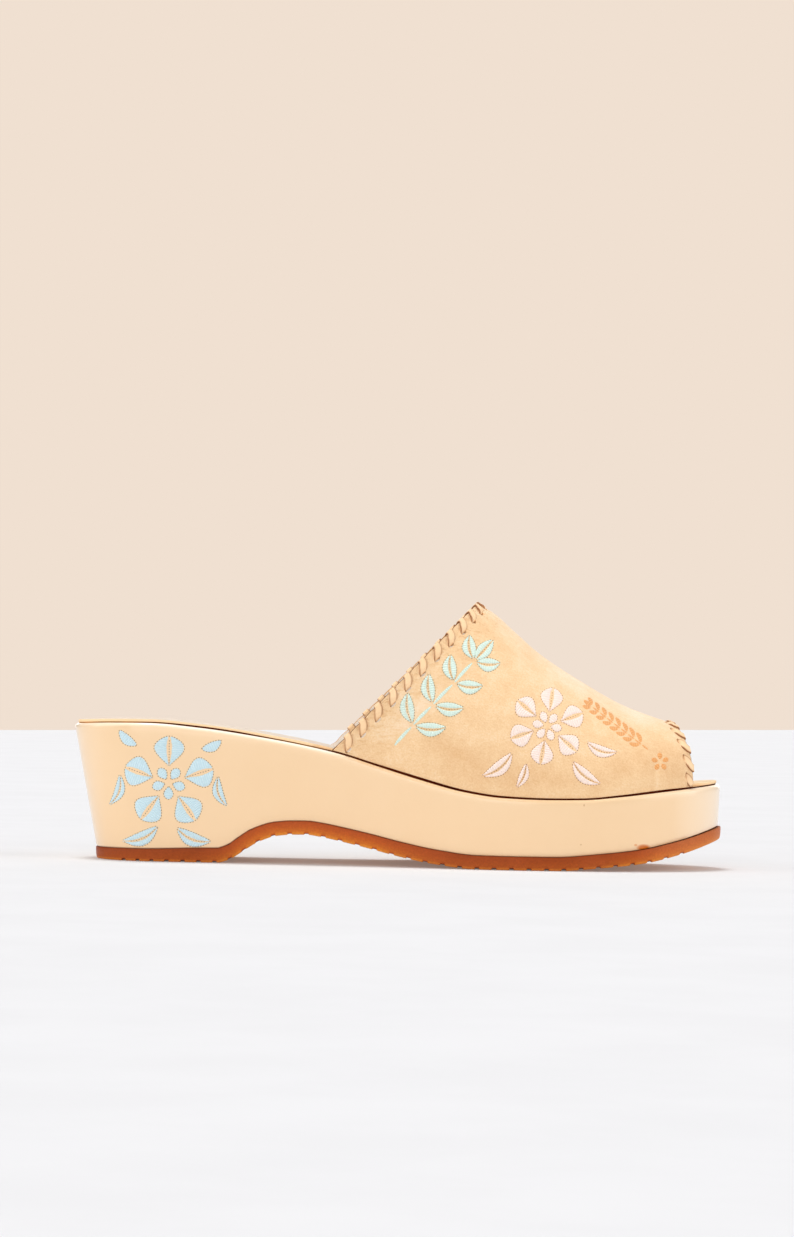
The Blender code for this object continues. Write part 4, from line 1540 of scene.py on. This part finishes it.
HEEL_CENTRE = (38.5, 30.5)
heel_petals = blossom(HEEL_CENTRE, 5, inner=6.4, outer=18.0, width=11.5, turn=90, split=True)
heel_petals += blossom(HEEL_CENTRE, 5, inner=1.6, outer=6.6, width=3.6, turn=126, fullness=1.2)
heel_petals += [
    leaf((34.5, 13.5), (21.0, 7.6), 5.2, 0.14),
    leaf((42.0, 13.0), (55.0, 8.2), 5.2, -0.14),
    leaf((26.0, 44.5), (19.0, 50.2), 3.6, 0.1, split=False),
    leaf((51.0, 43.5), (58.5, 47.0), 3.6, -0.1, split=False),
    leaf((19.5, 33.0), (15.5, 21.5), 3.8, 0.16),
    leaf((57.5, 33.0), (61.0, 22.0), 3.8, -0.16),
]
ROSE_CENTRE = (183.0, 55.0)
rose_petals = blossom(ROSE_CENTRE, 6, inner=5.6, outer=15.0, width=8.6, turn=20, split=True)
rose_petals += blossom(ROSE_CENTRE, 6, inner=1.4, outer=5.8, width=3.0, turn=50, fullness=1.2)
rose_petals += [
    leaf((169.5, 44.5), (158.5, 35.6), 5.0, 0.12),
    leaf((175.0, 40.5), (171.5, 31.6), 3.4, 0.1),
    leaf((193.0, 41.5), (203.5, 33.4), 5.0, -0.12),
    leaf((198.5, 49.0), (210.0, 45.5), 4.2, -0.14),
]
branch_line = [(124.5, 46.0), (131.5, 54.0), (139.0, 62.0), (147.0, 70.5), (154.5, 79.0)]
mint_petals = leafy_branch(branch_line, leaf_length=11.5, leaf_width=5.2, spread=50)
EAR_FOOT, EAR_TIP, EAR_ROWS = Vector((222.5, 46.5)), Vector((201.0, 62.5)), 8
ear_line = [EAR_FOOT.lerp(EAR_TIP, i / EAR_ROWS) for i in range(EAR_ROWS + 1)]
amber_petals = leafy_branch(
    ear_line, leaf_length=4.4, leaf_width=1.7, spread=30, stem=0.7, shrink=0.03, split=False
)
amber_petals += blossom((227.0, 42.0), 5, inner=0.9, outer=3.6, width=2.0, turn=20, fullness=1.2)

bpy.context.view_layer.update()
EDGED_FROM = 2
GREY_BROWN = (srgb(116, 94, 80), srgb(86, 64, 52))
ROSE_BROWN = (srgb(168, 112, 80), srgb(138, 86, 60))
GREY_GREEN = (srgb(140, 118, 88), srgb(112, 90, 64))
for sewn_name, carrier, petals, colour, shade, edging in (
    ("heel_blossom", wedge, heel_petals, srgb(226, 243, 248), srgb(190, 221, 232), GREY_BROWN),
    ("vamp_rose", upper, rose_petals, srgb(255, 243, 236), srgb(244, 217, 203), ROSE_BROWN),
    ("vamp_branch", upper, mint_petals, srgb(234, 246, 239), srgb(202, 226, 212), GREY_GREEN),
    ("vamp_grain", upper, amber_petals, srgb(240, 178, 108), srgb(228, 154, 84), None),
):
    sewn = join_pieces(sewn_name, [pad for petal in petals for pad in make_petal(carrier, petal)])
    shade_smooth(sharp_from=60)
    sewn.data.materials.clear()
    sewn.data.materials.append(satin_thread(sewn_name + "_thread", colour, shade))
    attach(sewn, "root")
    if edging:
        lines = [line for petal in petals if petal.width > EDGED_FROM for line in petal_outlines(petal)]
        stitches = make_stitches(sewn_name + "_edge", edge_stitches(carrier, lines))
        stitches.data.materials.append(edging_thread(sewn_name + "_edging", *edging))
        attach(stitches, "root")


# Studio
# A plain pale table top that glows a little, in an even warm room, under wide soft lights. The camera stands
# low and is tilted a little, and the table is turned so that its far edge looks level to it.
TABLE_BACK = 4.32
TABLE_DEEP = 7.0
TABLE_WIDE = 12.0
TABLE_TURN = 57.95
bpy.ops.object.select_all(action="DESELECT")
bpy.ops.mesh.primitive_plane_add(size=1.0)
table = bpy.context.object
table.name = "table_top"
table.data.transform(
    Matrix.Translation((0.0, TABLE_BACK, 0.0))
    @ Matrix.Rotation(math.radians(TABLE_TURN), 4, "Z")
    @ Matrix.Translation((0.0, -TABLE_DEEP / 2, 0.0))
    @ Matrix.Diagonal((TABLE_WIDE, TABLE_DEEP, 1.0, 1.0))
)


def glowing_pale_table():
    """Matt pale paint, hardly clouded, that glows a little: painted light that lightens the shadows under the
    shoe.
    """
    material, tree, coordinates = new_material("pale_table")
    clouds, _ = add_mottle(tree, coordinates, 60, 2)
    looks = {
        "Base Color": blend(tree, clouds, srgb(206, 209, 213), srgb(203, 206, 210)),
        "Emission Color": srgb(255, 236, 224),
        "Emission Strength": 0.17,
        "Roughness": 0.9,
        "Specular IOR Level": 0.0,
    }
    set_shader(tree, looks)
    return material


table.data.materials.append(glowing_pale_table())

for light_name, from_way, spread, strength in (
    ("top_light", (-0.1, 0.1, 1.0), 14, 1.62),
    ("front_light", (-0.2, -0.95, 0.28), 50, 1.12),
    ("heel_light", (-1.0, -0.25, 0.3), 50, 1.0),
    ("toe_light", (1.0, -0.25, 0.35), 50, 1.15),
    ("back_light", (0.1, 0.95, 0.22), 50, 0.7),
):
    lamp = bpy.data.lights.new(light_name, "SUN")
    lamp.angle = math.radians(spread)
    lamp.energy = strength
    holder = bpy.data.objects.new(light_name, lamp)
    holder.rotation_euler = Vector(from_way).to_track_quat("Z", "Y").to_euler()
    bpy.context.scene.collection.objects.link(holder)

# The air lights the shoe from all round, and only the camera sees the room's own colour.
world = bpy.data.worlds.new("studio_air")
world.use_nodes = True
air = world.node_tree.nodes["Background"]
set_inputs(air, {"Color": (1.0, 0.985, 0.97, 1.0), "Strength": 0.35})
room = add_node(world.node_tree, "Background", {"Color": srgb(240, 224, 209), "Strength": 1.0})
in_view = add_node(world.node_tree, "LightPath", output="Is Camera Ray")
seen = add_node(world.node_tree, "MixShader", {0: in_view, 1: air.outputs[0], 2: room})
set_inputs(world.node_tree.nodes["World Output"], {"Surface": seen})
bpy.context.scene.world = world
bpy.context.scene.view_settings.view_transform = "Standard"

CAMERA_BACK = 1.5
CAMERA_HIGH = 0.07
CAMERA_ALONG = -0.0012
CAMERA_LIFT = 0.976
CAMERA_TILT = 1.1
lens = bpy.data.cameras.new("camera")
lens.sensor_fit = "AUTO"
lens.sensor_width = 36.0
lens.lens = 111.6
lens.clip_start = 0.05
camera = bpy.data.objects.new("camera", lens)
camera.location = (CAMERA_ALONG, -CAMERA_BACK, CAMERA_HIGH)
camera.rotation_euler = (math.pi / 2 + math.radians(CAMERA_LIFT), -math.radians(CAMERA_TILT), 0.0)
bpy.context.scene.collection.objects.link(camera)
bpy.context.scene.camera = camera
